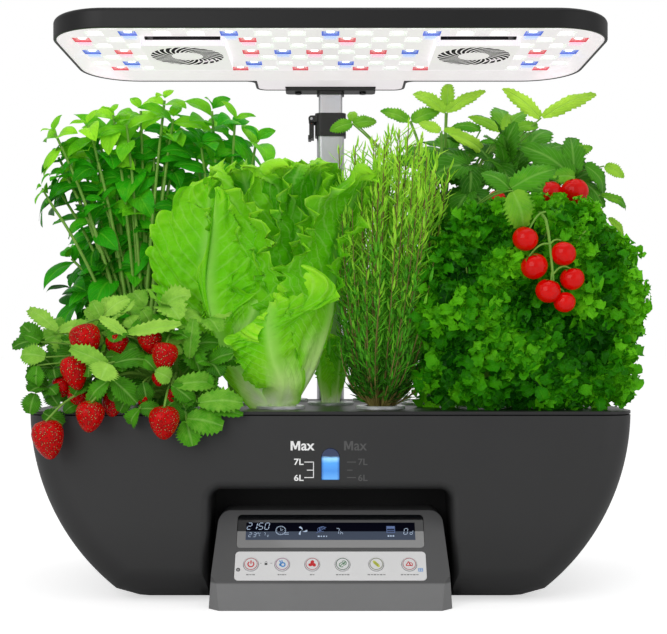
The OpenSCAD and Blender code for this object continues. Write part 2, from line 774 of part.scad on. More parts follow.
module inner_tube() {
    color("#d2d5d8") translate([0, pole_y, 0]) difference() {
        bar(inner_w, inner_d, inner_r, pole_top - inner_hold, light_z);
        bar(inner_w - 2 * pole_wall, inner_d - 2 * pole_wall, inner_r - pole_wall,
            pole_top - inner_hold - over, light_z - 2);
    }
}

module at_lever() {
    translate([lever_x, pole_y, lever_pin_z]) rotate([90, 0, 0]) children();
}

module clamp_collar() {
    ear_y = lever_w / 2 + 0.4;
    color("#1f1f20") difference() {
        union() {
            translate([0, pole_y, 0]) bar(clamp_w, clamp_d, 6, clamp_z, clamp_top);
            for (s = [-1, 1]) at_lever() translate([0, 0, s * (ear_y + ear_w / 2)]) {
                cylinder(r = lever_r, h = ear_w, center = true, $fn = round_fn);
                translate([0, -lever_r, -ear_w / 2])
                    cube([lever_t / 2 + lever_gap + 3, 2 * lever_r, ear_w]);
            }
        }
        translate([0, pole_y, 0]) {
            bar(pole_w + 2 * fit_gap, pole_d + 2 * fit_gap, pole_r + fit_gap,
                clamp_z - over, pole_top);
            bar(inner_w + 1, inner_d + 1, inner_r + 0.5, pole_top - over, clamp_top + over);
        }
        at_lever() cylinder(r = lever_pin_r, h = 2 * clamp_d, center = true, $fn = round_fn);
    }
}

module clamp_lever() {
    low = clamp_z - lever_tab;
    color("#262627") difference() {
        union() {
            at_lever() cylinder(r = lever_r, h = lever_w, center = true, $fn = round_fn);
            translate([lever_x - lever_t / 2, pole_y - lever_w / 2, low + 1])
                cube([lever_t, lever_w, lever_pin_z - low - 1]);
            translate([lever_x - lever_t / 2 - 1, pole_y - lever_w / 2, low])
                cube([2.6, lever_w, 4]);
        }
        at_lever() cylinder(r = lever_pin_r + shaft_gap, h = 2 * clamp_d, center = true,
            $fn = round_fn);
    }
}

module lever_pin() {
    color("#9a9c9e") at_lever() cylinder(r = lever_pin_r,
        h = lever_w + 2 * (ear_w + 0.4), center = true, $fn = round_fn);
}

// ---------------------------------------------------------------- lamp head
module light_bracket() {
    color("#1b1b1c") translate([0, pole_y, 0]) difference() {
        union() {
            bar(bracket_w, pole_d + 2, 4, light_z - bracket_t, light_z);
            bar(inner_w + 2 * (fit_gap + sleeve_wall), inner_d + 2 * (fit_gap + sleeve_wall),
                inner_r + sleeve_wall, light_z - bracket_t - sleeve_h, light_z - eps);
        }
        bar(inner_w + 2 * fit_gap, inner_d + 2 * fit_gap, inner_r + fit_gap,
            light_z - bracket_t - sleeve_h - over, light_z + over);
        at_bracket_screws() cylinder(d = 3, h = 3 * bracket_t, center = true, $fn = round_fn);
    }
}

module at_bracket_screws() {
    for (s = [-1, 1]) translate([s * bracket_w * 0.36, 0, light_z - bracket_t]) children();
}

module bracket_screws() {
    color("#0f0f10") translate([0, pole_y, 0]) at_bracket_screws() {
        cylinder(d = 3, h = bracket_t + 8, $fn = round_fn);
        translate([0, 0, -1.6]) cylinder(d = 6, h = 1.6, $fn = round_fn);
    }
}

module lamp_slice(w, d, r, z) {
    translate([0, 0, z]) linear_extrude(slice_t) polygon(rounded(w, d, r));
}

module lamp_block(w, d, r) {
    hull() {
        lamp_slice(w, d, r, light_z);
        for (a = [0:30:90]) let (inset = light_edge * (1 - cos(a)))
            lamp_slice(w - 2 * inset, d - 2 * inset, r - inset,
                light_top - light_edge * (1 - sin(a)) - slice_t);
    }
}

module light_housing() {
    tab_l = tab_y - front_y - light_d + 2 * light_r;
    color("#2a2a2b") difference() {
        union() {
            translate([0, light_y, 0]) lamp_block(light_w, light_d, light_r);
            translate([0, tab_y - tab_l / 2, 0]) lamp_block(tab_w, tab_l, tab_r);
        }
        tab_plate(0, light_z - over, light_z + tab_lift + tab_plate_t + cover_gap);
        translate([0, light_y, 0]) bar(light_w - 2 * light_wall, light_d - 2 * light_wall,
            light_r - light_wall, light_z - over, ceiling_z);
        translate([0, pole_y, 0]) at_bracket_screws()
            cylinder(d = 3, h = bracket_t + 8, $fn = round_fn);
    }
    color("#2a2a2b") for (x = [-1, 0, 1], s = [-1, 1])
        translate([x * (light_w / 2 - light_r), light_y + s * (light_d / 2 - frame_post_in), pan_top])
            cylinder(d = frame_post_d, h = ceiling_z - pan_top + eps, $fn = round_fn);
}

// Plate that covers the tab from below, cut out round the bracket; fit narrows it all round
module tab_plate(fit, z0, z1) {
    front = light_y + light_d / 2 - light_wall - cover_gap - tab_join;
    rear = tab_y - light_wall - fit;
    w = tab_w - 2 * light_wall - 2 * fit;
    difference() {
        translate([0, rear - (rear - front + tab_r) / 2, 0])
            intersection() {
                bar(w, rear - front + tab_r, tab_r - light_wall, z0, z1);
                translate([0, tab_r, 0]) cube([2 * w, rear - front + tab_r, 2 * light_top],
                    center = true);
            }
        translate([0, pole_y + tab_r, z0]) cube([bracket_w + 2 * fit + 2 * cover_gap,
            pole_d + 2 * (1 + cover_gap + fit) + 2 * tab_r, 2 * light_h], center = true);
    }
}

module at_covers() {
    for (s = [-1, 1]) translate([s * fan_x, cover_y, 0]) children();
}

// White frame: a sloping border and a tapered tray in front of every diode
module light_frame() {
    gap = light_wall + cover_gap;
    w = light_w - 2 * gap;
    d = light_d - 2 * gap;
    r = light_r - gap;
    color("#f0f1f2") difference() {
        union() {
            translate([0, light_y, 0]) bar(w, d, r, light_z + tab_lift, pan_top);
            tab_plate(cover_gap, light_z + tab_lift, light_z + tab_lift + tab_plate_t);
        }
        for (s = [-1, 1], x = tab_slots) translate([s * x, tab_y - light_wall - tab_slot_in, light_z])
            cube([tab_slot[0], tab_slot[1], 4 * tab_plate_t], center = true);
        translate([0, light_y, 0]) hull() {
            lamp_slice(w - 2 * border_w + 1, d - 2 * border_w + 1, r - border_w + 0.5,
                light_z - 0.2);
            lamp_slice(light_w - 2 * recess_in, light_d - 2 * recess_in, recess_r,
                led_z - slice_t);
        }
        for (spot = led_spots) translate([spot_x(spot), front_y + spot_d(spot), 0]) hull() {
            translate([0, 0, led_z - eps]) linear_extrude(eps) square(tray_w, center = true);
            translate([0, 0, pan_top]) linear_extrude(eps) square(tray_floor, center = true);
        }
        at_covers() translate([0, 0, light_z + light_h / 2])
            cube([cover_w + 2 * cover_gap, cover_l + 2 * cover_gap, 2 * light_h], center = true);
    }
}

module led_board() {
    color("#e4e6e2") difference() {
        translate([0, light_y, 0]) bar(light_w - 2 * recess_in, light_d - 2 * recess_in,
            recess_r + 6, pan_top, board_top);
        at_covers() translate([0, 0, pan_top]) cube([cover_w - 2, cover_l - 2, light_h],
            center = true);
    }
}

module diodes(spots) {
    for (spot = spots) translate([spot_x(spot), front_y + spot_d(spot), pan_top - led_t / 2])
        cube([led_w, led_w, led_t], center = true);
}

module leds_white() {
    color("#ffffff") diodes([for (s = led_spots)
        if (!holds(blue_spots, s) && !holds(red_spots, s)) s]);
}
module leds_red() { color("#ff3048") diodes([for (s = led_spots) if (holds(red_spots, s)) s]); }
module leds_blue() { color("#3060ff") diodes([for (s = led_spots) if (holds(blue_spots, s)) s]); }

// One slot of the grille, between two swirled edges that open outwards
function slot_edge(turn, up) = [for (i = [0:6])
    let (t = up ? i / 6 : 1 - i / 6, r = (grille_hub_d + (grille_d - grille_hub_d) * t) / 2,
        a = turn + grille_swirl * t)
    [r * cos(a), r * sin(a)]];

module fan_cover(x) {
    share = 360 / grille_slots * slot_share / 2;
    rim = pan_top - plate_z;
    color("#f4f5f6") translate([x, cover_y, plate_z]) difference() {
        bar(cover_w, cover_l, 3, 0, rim);
        bar(cover_w - 2 * cover_wall, cover_l - 2 * cover_wall, 3 - cover_wall + 0.5,
            cover_wall, rim + over);
        translate([0, fan_y - cover_y, -over]) linear_extrude(cover_wall + 2 * over)
            for (i = [0:grille_slots - 1]) rotate(360 * i / grille_slots)
                polygon(concat(slot_edge(-share, true), slot_edge(share, false)));
        translate([0, -cover_l / 2, rim - vent_drop])
            cube([cover_w - 2 * vent_in, 4 * cover_wall, vent_h], center = true);
    }
}
module fan_cover_left() { fan_cover(-fan_x); }
module fan_cover_right() { fan_cover(fan_x); }

module fan_frame(x) {
    color("#3a3b3d") translate([x, fan_y, 0]) {
        translate([0, 0, ceiling_z - fan_base_t]) cylinder(d = duct_ring_d, h = fan_base_t,
            $fn = round_fn);
        translate([0, 0, rotor_z]) difference() {
            cylinder(d = duct_ring_d, h = ceiling_z - rotor_z - eps, $fn = round_fn);
            translate([0, 0, -over]) cylinder(d = duct_ring_d - 2 * duct_ring_wall,
                h = light_h, $fn = round_fn);
        }
        translate([0, 0, rotor_z + 0.4]) cylinder(d = shaft_d,
            h = ceiling_z - rotor_z - 0.4 - eps, $fn = round_fn);
    }
}
module fan_frame_left() { fan_frame(-fan_x); }
module fan_frame_right() { fan_frame(fan_x); }

module fan_rotor(x) {
    mid = (rotor_d + hub_d) / 4;
    color("#dfe2e6") translate([x, fan_y, rotor_z]) difference() {
        union() {
            cylinder(d = hub_d, h = rotor_h, $fn = round_fn);
            intersection() {
                cylinder(d = rotor_d, h = rotor_h, $fn = round_fn);
                for (i = [0:blades - 1]) rotate(360 * i / blades)
                    translate([mid, 0, rotor_h / 2]) rotate([blade_pitch, 0, 0])
                        cube([rotor_d / 2, blade_chord, blade_t], center = true);
            }
        }
        translate([0, 0, -over]) cylinder(r = shaft_d / 2 + shaft_gap, h = rotor_h + 2 * over,
            $fn = round_fn);
    }
}
module fan_rotor_left() { fan_rotor(-fan_x); }
module fan_rotor_right() { fan_rotor(fan_x); }

// ---------------------------------------------------------------- control unit
// Side outline of the control unit, or of its hollow when inset by the wall
function ctl_side(inset) = let (tilt = inset * tan(slope_a / 2))
    [[front_y - ctl_out + inset, inset > 0 ? -over : 0],
    [slope_y + inset, ctl_front_h - tilt / 2],
    [slope_y + ctl_run + tilt, ctl_h - inset],
    [bay_y - inset, ctl_h - inset], [bay_y - inset, inset > 0 ? -over : 0]];

function ctl_front(inset) = let (r = max(ctl_r - inset, 1), top = ctl_h - inset,
        high = ctl_top_w / 2 - inset, low = ctl_w / 2 - inset)
    concat([[low, inset > 0 ? -over : 0]],
        [for (i = [0:6]) [high - r + r * cos(15 * i), top - r + r * sin(15 * i)]],
        [for (i = [6:-1:0]) [r - high - r * cos(15 * i), top - r + r * sin(15 * i)]],
        [[-low, inset > 0 ? -over : 0]]);

function ctl_plan(inset) = let (w = ctl_w / 2 - inset + over, y = front_y - ctl_out + inset,
        b = ctl_bevel + over)
    [[-w, bay_y], [-w, y + b], [b - w, y], [w - b, y], [w, y + b], [w, bay_y]];

module ctl_form(inset) {
    intersection() {
        rotate([90, 0, 90]) linear_extrude(ctl_w, center = true) polygon(ctl_side(inset));
        translate([0, bay_y, 0]) rotate([90, 0, 0]) linear_extrude(bay_d + ctl_out)
            polygon(ctl_front(inset));
        translate([0, 0, -over]) linear_extrude(ctl_h + 2 * over) polygon(ctl_plan(inset));
    }
}

// Children lie on the sloping face: X across, Y up the slope from its lower edge, Z outwards
module on_slope(s, x = 0) {
    translate([0, slope_y, ctl_front_h]) rotate([slope_a, 0, 0]) translate([x, s, 0]) children();
}

module at_posts() {
    for (sx = [-1, 1], s = [plate_s + 3, plate_s + pcb_l - 3])
        on_slope(s, sx * (pcb_w / 2 - 1.5)) children();
}

module control_housing() {
    color("#6f6f70") difference() {
        union() {
            difference() {
                ctl_form(0);
                ctl_form(ctl_wall);
            }
            at_posts() translate([0, 0, -pcb_drop]) cylinder(d = post_d,
                h = pcb_drop - ctl_wall / 2, $fn = round_fn);
        }
        on_slope(plate_s + plate_l / 2) translate([0, 0, -recess_d])
            bar(plate_w + 2 * ctl_gap, plate_l + 2 * ctl_gap, plate_r + ctl_gap, 0, over + recess_d);
        on_slope(glass_s + glass_l / 2) translate([0, 0, -recess_d])
            bar(glass_w + 2 * ctl_gap, glass_l + 2 * ctl_gap, plate_r + ctl_gap, 0, over + recess_d);
        on_slope(glass_s + glass_l / 2) cube([lcd_w + 2 * ctl_gap, lcd_l + 2 * ctl_gap,
            4 * ctl_wall], center = true);
        for (x = button_x) on_slope(button_s, x)
            cylinder(d = button_d + 2 * button_gap, h = 4 * ctl_wall, center = true, $fn = round_fn);
        translate([-duct_w / 2 + 1, bay_y - 2 * ctl_wall, 3]) cube([duct_w - 2, 3 * ctl_wall, 6]);
    }
}

module control_base() {
    gap = ctl_wall + ctl_gap;
    color("#2a2a2b") intersection() {
        linear_extrude(2) offset(delta = -2 * ctl_gap - over) polygon(ctl_plan(ctl_wall));
        translate([-ctl_w / 2, front_y - ctl_out, 0]) cube([ctl_w, bay_d + ctl_out - gap, ctl_wall]);
    }
}

module display_glass() {
    color("#101114") on_slope(glass_s + glass_l / 2) translate([0, 0, -recess_d])
        bar(glass_w, glass_l, plate_r, 0, plate_t);
}

module lcd_panel() {
    color("#05080f") on_slope(glass_s + glass_l / 2)
        translate([0, 0, -recess_d - lcd_t / 2]) cube([lcd_w, lcd_l, lcd_t], center = true);
}

module button_plate() {
    color("#d9d9da") difference() {
        on_slope(plate_s + plate_l / 2) translate([0, 0, -recess_d])
            bar(plate_w, plate_l, plate_r, 0, plate_t);
        for (x = button_x) on_slope(button_s, x)
            cylinder(d = button_d + 2 * button_gap, h = 4 * ctl_wall, center = true, $fn = round_fn);
    }
}

module button(i) {
    low = -ctl_wall - ctl_gap;
    color("#f2f2f2") on_slope(button_s, button_x[i]) {
        translate([0, 0, low - eps]) cylinder(d = button_d, h = button_proud + plate_proud - low,
            $fn = round_fn);
        translate([0, 0, low - button_rim_t]) cylinder(d = button_d + 2 * button_rim,
            h = button_rim_t, $fn = round_fn);
    }
}
module button_power() { button(0); }
module button_water() { button(1); }
module button_fan() { button(2); }
module button_vegetable() { button(3); }
module button_flower() { button(4); }
module button_fruit() { button(5); }

module control_board() {
    reach = ctl_wall + ctl_gap + button_rim_t + button_travel + ctl_gap;
    color("#1f6b3a") {
        on_slope(plate_s + pcb_l / 2) translate([0, 0, -pcb_drop - pcb_t / 2])
            cube([pcb_w, pcb_l, pcb_t], center = true);
        for (x = button_x) on_slope(button_s, x) translate([0, 0, -pcb_drop - eps])
            cylinder(d = switch_d, h = pcb_drop - reach, $fn = round_fn);
        on_slope(glass_s + glass_l / 2) translate([0, 0, -pcb_drop - eps])
            linear_extrude(pcb_drop - recess_d - lcd_t) square([lcd_w - 20, 4], center = true);
    }
}

// ---------------------------------------------------------------- pump
module at_pump() {
    translate([pump_x, pump_y, floor_z]) children();
}

module pump_body() {
    chamber_d = impeller_d + 2 * impeller_gap;
    top = impeller_z - floor_z;
    color("#1d1e20") at_pump() difference() {
        union() {
            bar(pump_l, pump_w, 5, 0, pump_h);
            translate([0, 0, pump_h - eps]) cylinder(d = riser_d + 4, h = 6, $fn = round_fn);
        }
        translate([-pump_l / 4, 0, top - impeller_gap]) cylinder(d = chamber_d,
            h = impeller_h + 2 * impeller_gap, $fn = round_fn);
        translate([0, 0, top]) cylinder(d = riser_d - 2 * riser_wall, h = pump_h, $fn = round_fn);
        translate([-pump_l / 4, 0, top]) rotate([0, 90, 0]) translate([-3, 0, 0])
            cylinder(d = 5, h = pump_l / 4, $fn = round_fn);
        translate([0, 0, pump_h]) cylinder(d = riser_d + 2 * fit_gap, h = 7, $fn = round_fn);
        for (i = [-2:2]) translate([-pump_l / 2 - over, i * 4.4 - 1, 4])
            cube([pump_l / 4, 2, pump_h - 10]);
        translate([-pump_l / 2 + volute_wall, -pump_w / 2 + 4, 4]) cube([3, pump_w - 8, pump_h - 10]);
    }
    color("#8d9094") at_pump() translate([-pump_l / 4, 0, top - 2])
        cylinder(d = 2, h = impeller_h + 4, $fn = round_fn);
}

module pump_impeller() {
    color("#e6e6e6") translate([pump_x - pump_l / 4, pump_y, impeller_z]) difference() {
        union() {
            cylinder(d = 7, h = impeller_h, $fn = round_fn);
            cylinder(d = impeller_d, h = 1.2, $fn = round_fn);
            for (a = [0:60:300]) rotate(a) translate([2.5, -0.6, 0])
                cube([impeller_d / 2 - 3, 1.2, impeller_h]);
        }
        translate([0, 0, -over]) cylinder(r = 1 + shaft_gap, h = impeller_h + 2 * over,
            $fn = round_fn);
    }
}

module riser_tube() {
    color("#8f9599") at_pump() translate([0, 0, pump_h]) difference() {
        cylinder(d = riser_d, h = riser_top - floor_z - pump_h, $fn = round_fn);
        translate([0, 0, -over]) cylinder(d = riser_d - 2 * riser_wall, h = deck_z, $fn = round_fn);
    }
}

tank();
water_window();
deck();
fill_lid();
tank_feet();
pole_socket();
outer_tube();
clamp_collar();
clamp_lever();
lever_pin();
inner_tube();
light_bracket();
bracket_screws();
light_housing();
light_frame();
led_board();
leds_white();
leds_red();
leds_blue();
fan_cover_left();
fan_cover_right();
fan_frame_left();
fan_frame_right();
fan_rotor_left();
fan_rotor_right();
control_housing();
control_base();
display_glass();
lcd_panel();
button_plate();
button_power();
button_water();
button_fan();
button_vegetable();
button_flower();
button_fruit();
control_board();
pump_body();
pump_impeller();
riser_tube();
power_socket();
net_cup_strawberry();
net_cup_lettuce();
net_cup_rosemary();
net_cup_baby_lettuce();
net_cups();
sponge_strawberry();
sponge_lettuce();
sponge_rosemary();
sponge_baby_lettuce();
grow_sponges();
strawberry_plant();
lettuce();
rosemary();
baby_lettuce();
basil();
parsley();
tomato_plant();
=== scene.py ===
import json
import math
import random

import bmesh
import bpy
from mathutils import Matrix, Vector, noise


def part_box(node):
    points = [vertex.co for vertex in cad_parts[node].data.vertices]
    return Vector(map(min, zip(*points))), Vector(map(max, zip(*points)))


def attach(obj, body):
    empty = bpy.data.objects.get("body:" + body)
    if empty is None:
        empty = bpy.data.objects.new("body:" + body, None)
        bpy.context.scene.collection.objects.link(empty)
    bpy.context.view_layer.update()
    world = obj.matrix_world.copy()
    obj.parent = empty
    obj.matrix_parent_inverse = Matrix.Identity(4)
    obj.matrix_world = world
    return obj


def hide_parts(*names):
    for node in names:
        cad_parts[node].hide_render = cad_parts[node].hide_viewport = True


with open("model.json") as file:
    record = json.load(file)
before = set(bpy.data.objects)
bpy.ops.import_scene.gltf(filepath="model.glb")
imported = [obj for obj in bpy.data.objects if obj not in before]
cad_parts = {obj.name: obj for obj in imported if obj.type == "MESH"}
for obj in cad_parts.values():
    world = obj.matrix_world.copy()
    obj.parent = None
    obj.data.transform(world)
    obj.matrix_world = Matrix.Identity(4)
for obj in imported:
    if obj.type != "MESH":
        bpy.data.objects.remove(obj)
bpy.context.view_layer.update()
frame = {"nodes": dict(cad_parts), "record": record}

scene = bpy.context.scene
scene.view_settings.view_transform = "Standard"
nodes = frame["nodes"]
rad = math.radians

# Sizes that several pieces share, in millimetres
garden = dict(frontY=-100, rearY=104, deckZ=140.3, rimZ=137, footStand=1.5, lightZ=420.6, lightTop=435.9,
              slopeY=-122, slopeZ=19.4, slopeAngle=rad(50.8045))

# Vertices nearer than this after a cut are one, in mm
weld = 0.002


# A socket that can be used in sums; each sum adds its Math node
class Wire:
    def __init__(self, finish, socket):
        self.finish, self.socket = finish, socket

    def calc(self, operation, *terms):
        return self.finish.add("ShaderNodeMath", dict(operation=operation), dict(enumerate(terms)))

    def __add__(self, other):
        return self.calc("ADD", self, other)

    def __sub__(self, other):
        return self.calc("SUBTRACT", self, other)

    def __rsub__(self, other):
        return self.calc("SUBTRACT", other, self)

    def __mul__(self, other):
        return self.calc("MULTIPLY", self, other)

    def __truediv__(self, other):
        return self.calc("DIVIDE", self, other)

    def __abs__(self):
        return self.calc("ABSOLUTE", self)

    __radd__ = __add__
    __rmul__ = __mul__


# A material: fixed numbers sit on the shader's sockets, the rest is wired in
class Finish:
    def __init__(self, name, colour, **fixed):
        self.material = bpy.data.materials.new(name)
        self.material.use_nodes = True
        self.tree = self.material.node_tree
        self.shader = self.tree.nodes["Principled BSDF"]
        self.feed(baseColor=colour, **fixed)

    def add(self, kind, settings=None, sockets=None, out=0):
        node = self.tree.nodes.new(kind)
        for key, value in (settings or {}).items():
            if key == "stops":
                ramp = node.color_ramp
                while len(ramp.elements) < len(value):
                    ramp.elements.new(0.5)
                for stop, (at, tone) in zip(ramp.elements, value):
                    stop.position, stop.color = at, (*tone, 1)
            else:
                setattr(node, key, value)
        for key, value in (sockets or {}).items():
            self.plug(value, node.inputs[key])
        return Wire(self, node.outputs[out])

    def plug(self, value, socket):
        if isinstance(value, Wire):
            self.tree.links.new(value.socket, socket)
        else:
            if socket.type == "RGBA" and len(value) == 3:
                value = (*value, 1)
            socket.default_value = value

    # A key such as baseColor stands for the shader's socket Base Color
    def feed(self, **values):
        for key, value in values.items():
            words = "".join(" " + c if c.isupper() else c for c in key).title().replace("Ior", "IOR")
            self.plug(value, self.shader.inputs[words])
        return self

    def place(self, stretch=(1, 1, 1)):
        spot = self.add("ShaderNodeTexCoord", out="Object")
        return self.add("ShaderNodeMapping", None, {"Vector": spot, "Scale": stretch})

    def across(self, axis, spot=None):
        spot = spot or self.add("ShaderNodeTexCoord", out="Object")
        return self.add("ShaderNodeSeparateXYZ", None, {0: spot}, axis)

    def grain(self, size, detail, spot=None, rough=0.5, twist=0.0):
        return self.add("ShaderNodeTexNoise", None, {"Vector": spot or self.place(), "Scale": 1000 / size,
                        "Detail": detail, "Roughness": rough, "Distortion": twist})

    # Of a leaf: how far out from the rib, how far along it, the leaf's tint and broad blotches
    def blade(self, patch):
        spot = self.add("ShaderNodeTexCoord", out="UV")
        tint = self.add("ShaderNodeAttribute", dict(attribute_name="tint"), out="Fac")
        return abs(self.across("X", spot) * 2 - 1), self.across("Y", spot), tint, self.grain(patch, 3)

    def cells(self, size, spot=None, feature="F1"):
        return self.add("ShaderNodeTexVoronoi", dict(feature=feature),
                        {"Vector": spot or self.place(), "Scale": 1000 / size})

    def ramp(self, value, *stops):
        return self.add("ShaderNodeValToRGB", dict(stops=stops), {0: value})

    # Goes from start to end while the value goes from low to high
    def fade(self, value, low, high, start=0.0, end=1.0):
        return self.add("ShaderNodeMapRange", None, {0: value, 1: low, 2: high, 3: start, 4: end})

    def fraction(self, value):
        return value.calc("FRACT", value)

    def tones(self, share, first, second):
        return self.add("ShaderNodeMix", dict(data_type="RGBA", clamp_factor=True),
                        {0: share, 6: first, 7: second}, 2)

    def bump(self, height, depth):
        wire = self.add("ShaderNodeBump", None, {"Height": height, "Distance": depth / 1000, "Strength": 1})
        self.plug(wire, self.shader.inputs["Normal"])
        return self


# Moulded plastic: fine spark texture, faint blotches and a slightly uneven gloss
def mouldedPlastic(name, colour, gloss, texture, depth, blotch=0.12, **fixed):
    plastic = Finish(name, colour, **fixed)
    fine = plastic.grain(texture, 2)
    broad = plastic.grain(38, 4, rough=0.6)
    dark = tuple(c * (1 - blotch) for c in colour)
    pale = tuple(min(1, c * (1 + blotch)) for c in colour)
    plastic.feed(baseColor=plastic.tones(broad * 0.7 + fine * 0.3, dark, pale),
                 roughness=(broad - 0.5) * 0.14 + (fine - 0.5) * 0.1 + gloss)
    return plastic.bump(fine, depth)


# Drawn metal: fine scratches along the draw
def drawnMetal(name, colour, gloss=0.32, along=(1, 1, 0.02)):
    metal = Finish(name, colour, metallic=1.0)
    lines = metal.grain(0.45, 3, metal.place(along))
    smear = metal.grain(30, 3)
    metal.feed(baseColor=metal.tones(lines, tuple(c * 0.86 for c in colour), colour),
               roughness=lines * 0.16 + smear * 0.08 + gloss - 0.12)
    return metal.bump(lines, 0.012)


# Printed or lit mark: a plain colour that also shines a little
def printedMark(name, colour, shine=0.0, gloss=0.5):
    mark = Finish(name, colour, emissionStrength=shine, emissionColor=colour)
    speck = mark.grain(0.6, 2)
    return mark.feed(roughness=speck * 0.1 + gloss - 0.05)


finishes = dict(
    deck=mouldedPlastic("deckCharcoal", (0.016, 0.016, 0.017), 0.36, 0.5, 0.015),
    lid=mouldedPlastic("lidBlack", (0.026, 0.026, 0.027), 0.38, 0.5, 0.012),
    black=mouldedPlastic("clampBlack", (0.012, 0.012, 0.0125), 0.4, 0.4, 0.01),
    lamp=mouldedPlastic("lampBlack", (0.0095, 0.0095, 0.0098), 0.42, 0.45, 0.012, specularIorLevel=0.35),
    # The lamp's white plastic also glows: painted light that brightens its faces turned down
    lampWhitePaintedGlow=mouldedPlastic("lampWhitePaintedGlow", (0.5, 0.48, 0.5), 0.38, 0.5, 0.006, 0.02,
                             emissionColor=(1.0, 0.93, 0.97), emissionStrength=0.62),
    board=mouldedPlastic("boardWhite", (0.75, 0.77, 0.76), 0.5, 0.8, 0.004, 0.03),
    fan=mouldedPlastic("fanDark", (0.03, 0.03, 0.032), 0.6, 0.5, 0.01, specularIorLevel=0.2),
    rotor=mouldedPlastic("rotorGrey", (0.03, 0.031, 0.033), 0.5, 0.5, 0.006, 0.05, specularIorLevel=0.25),
    plate=mouldedPlastic("plateGrey", (0.82, 0.815, 0.82), 0.4, 0.4, 0.003, 0.02),
    button=mouldedPlastic("buttonWhite", (0.8, 0.8, 0.805), 0.3, 0.4, 0.002, 0.02),
    rubber=mouldedPlastic("footRubber", (0.018, 0.018, 0.018), 0.75, 0.8, 0.02),
    pump=mouldedPlastic("pumpBlack", (0.012, 0.013, 0.015), 0.5, 0.5, 0.012),
    impeller=mouldedPlastic("impellerWhite", (0.7, 0.7, 0.7), 0.4, 0.5, 0.005),
    circuit=mouldedPlastic("circuitGreen", (0.02, 0.13, 0.05), 0.45, 1.2, 0.01),
    tube=drawnMetal("tubeAluminium", (0.66, 0.67, 0.69)),
    steel=drawnMetal("pinSteel", (0.5, 0.51, 0.52), 0.28, (1, 0.02, 1)),
    screw=drawnMetal("screwBlack", (0.03, 0.03, 0.032), 0.4, (1, 1, 1)),
)


# Tank plastic: charcoal, with painted shade that falls off to black in the bay and darkens it towards the
# bottom
def makeTankPlastic(colour=(0.025, 0.025, 0.0256), deep=(0.0015, 0.0015, 0.0016)):
    plastic = Finish("tankCharcoal", colour)
    x, y, z = abs(plastic.across("X") * 1000), plastic.across("Y") * 1000, plastic.across("Z") * 1000
    # Painted shade: the bay, found by place, takes the near-black tone
    behind = plastic.fade(y, -98.5, -90)
    beside = plastic.fade(x, 97, 94)
    under = plastic.fade(z, 89, 86)
    front = plastic.fade(y, -50, -51.5)
    bayShade = behind * beside * under * front
    fine, broad = plastic.grain(0.55, 2), plastic.grain(38, 4, rough=0.6)
    dark, pale = (tuple(c * share for c in colour) for share in (0.88, 1.12))
    tone = plastic.tones(broad * 0.7 + fine * 0.3, dark, pale)
    # Painted shade: darker towards the bottom
    foot = plastic.fade(z, 60, 5)
    tone = plastic.tones(foot, tone, tuple(c * 0.6 for c in colour))
    plastic.feed(baseColor=plastic.tones(bayShade, tone, deep),
                 roughness=(broad - 0.5) * 0.14 + (fine - 0.5) * 0.1 + bayShade * 0.3 + 0.46)
    return plastic.bump(fine, 0.018)


# Control unit's plastic: the upright front a little paler than the slope
def makeControlPlastic(slope=(0.096, 0.096, 0.098), front=(0.245, 0.245, 0.248)):
    plastic = Finish("controlGrey", slope)
    low = plastic.fade(plastic.across("Z") * 1000, 19.8, 18.4)
    fine, broad = plastic.grain(0.5, 2), plastic.grain(30, 4, rough=0.6)
    tone = plastic.tones(low, slope, front)
    plastic.feed(baseColor=plastic.tones(broad * 0.16 + fine * 0.06, tone, (0.02, 0.02, 0.02)),
                 roughness=broad * 0.12 + fine * 0.08 + 0.34)
    return plastic.bump(fine, 0.012)


# Display glass: smoked, with a painted reflection that makes its lower half paler grey
def makeGlass():
    glass = Finish("displayGlass", (0.006, 0.006, 0.007), coatWeight=0.5, coatRoughness=0.03)
    haze = glass.grain(14, 4)
    # Painted reflection: below this height the glass is paler grey
    low = glass.fade(glass.across("Z") * 1000, 52.4, 52.0)
    return glass.feed(baseColor=glass.tones(low, (0.002, 0.0025, 0.0035), (0.25, 0.25, 0.25)),
                      roughness=haze * 0.06 + 0.05)


# Clear cup: its pale base colour, whiter in swirls, is painted highlight
def makeCup():
    cup = Finish("cupClear", (0.6, 0.62, 0.64), transmissionWeight=0.2, ior=1.45, metallic=0.25)
    swirl = cup.grain(9, 3, twist=1.5)
    cup.feed(baseColor=cup.tones(swirl, (0.62, 0.64, 0.66), (0.95, 0.96, 0.97)),
             roughness=swirl * 0.2 + 0.05)
    return cup.bump(swirl, 0.05)


def makeSponge():
    sponge = Finish("spongeBrown", (0.06, 0.04, 0.03))
    pores = sponge.cells(1.6)
    fibre = sponge.grain(0.7, 3)
    sponge.feed(baseColor=sponge.ramp(pores * 0.7 + fibre * 0.4, (0.1, (0.012, 0.008, 0.006)),
                                      (0.5, (0.06, 0.04, 0.026)), (0.95, (0.13, 0.09, 0.055))),
                roughness=fibre * 0.2 + 0.75)
    return sponge.bump(pores + fibre * 0.5, 0.5)


def makeRiser():
    riser = Finish("riserClear", (0.5, 0.54, 0.56), transmissionWeight=0.6, ior=1.42)
    cloud = riser.grain(6, 2)
    return riser.feed(roughness=cloud * 0.15 + 0.12)
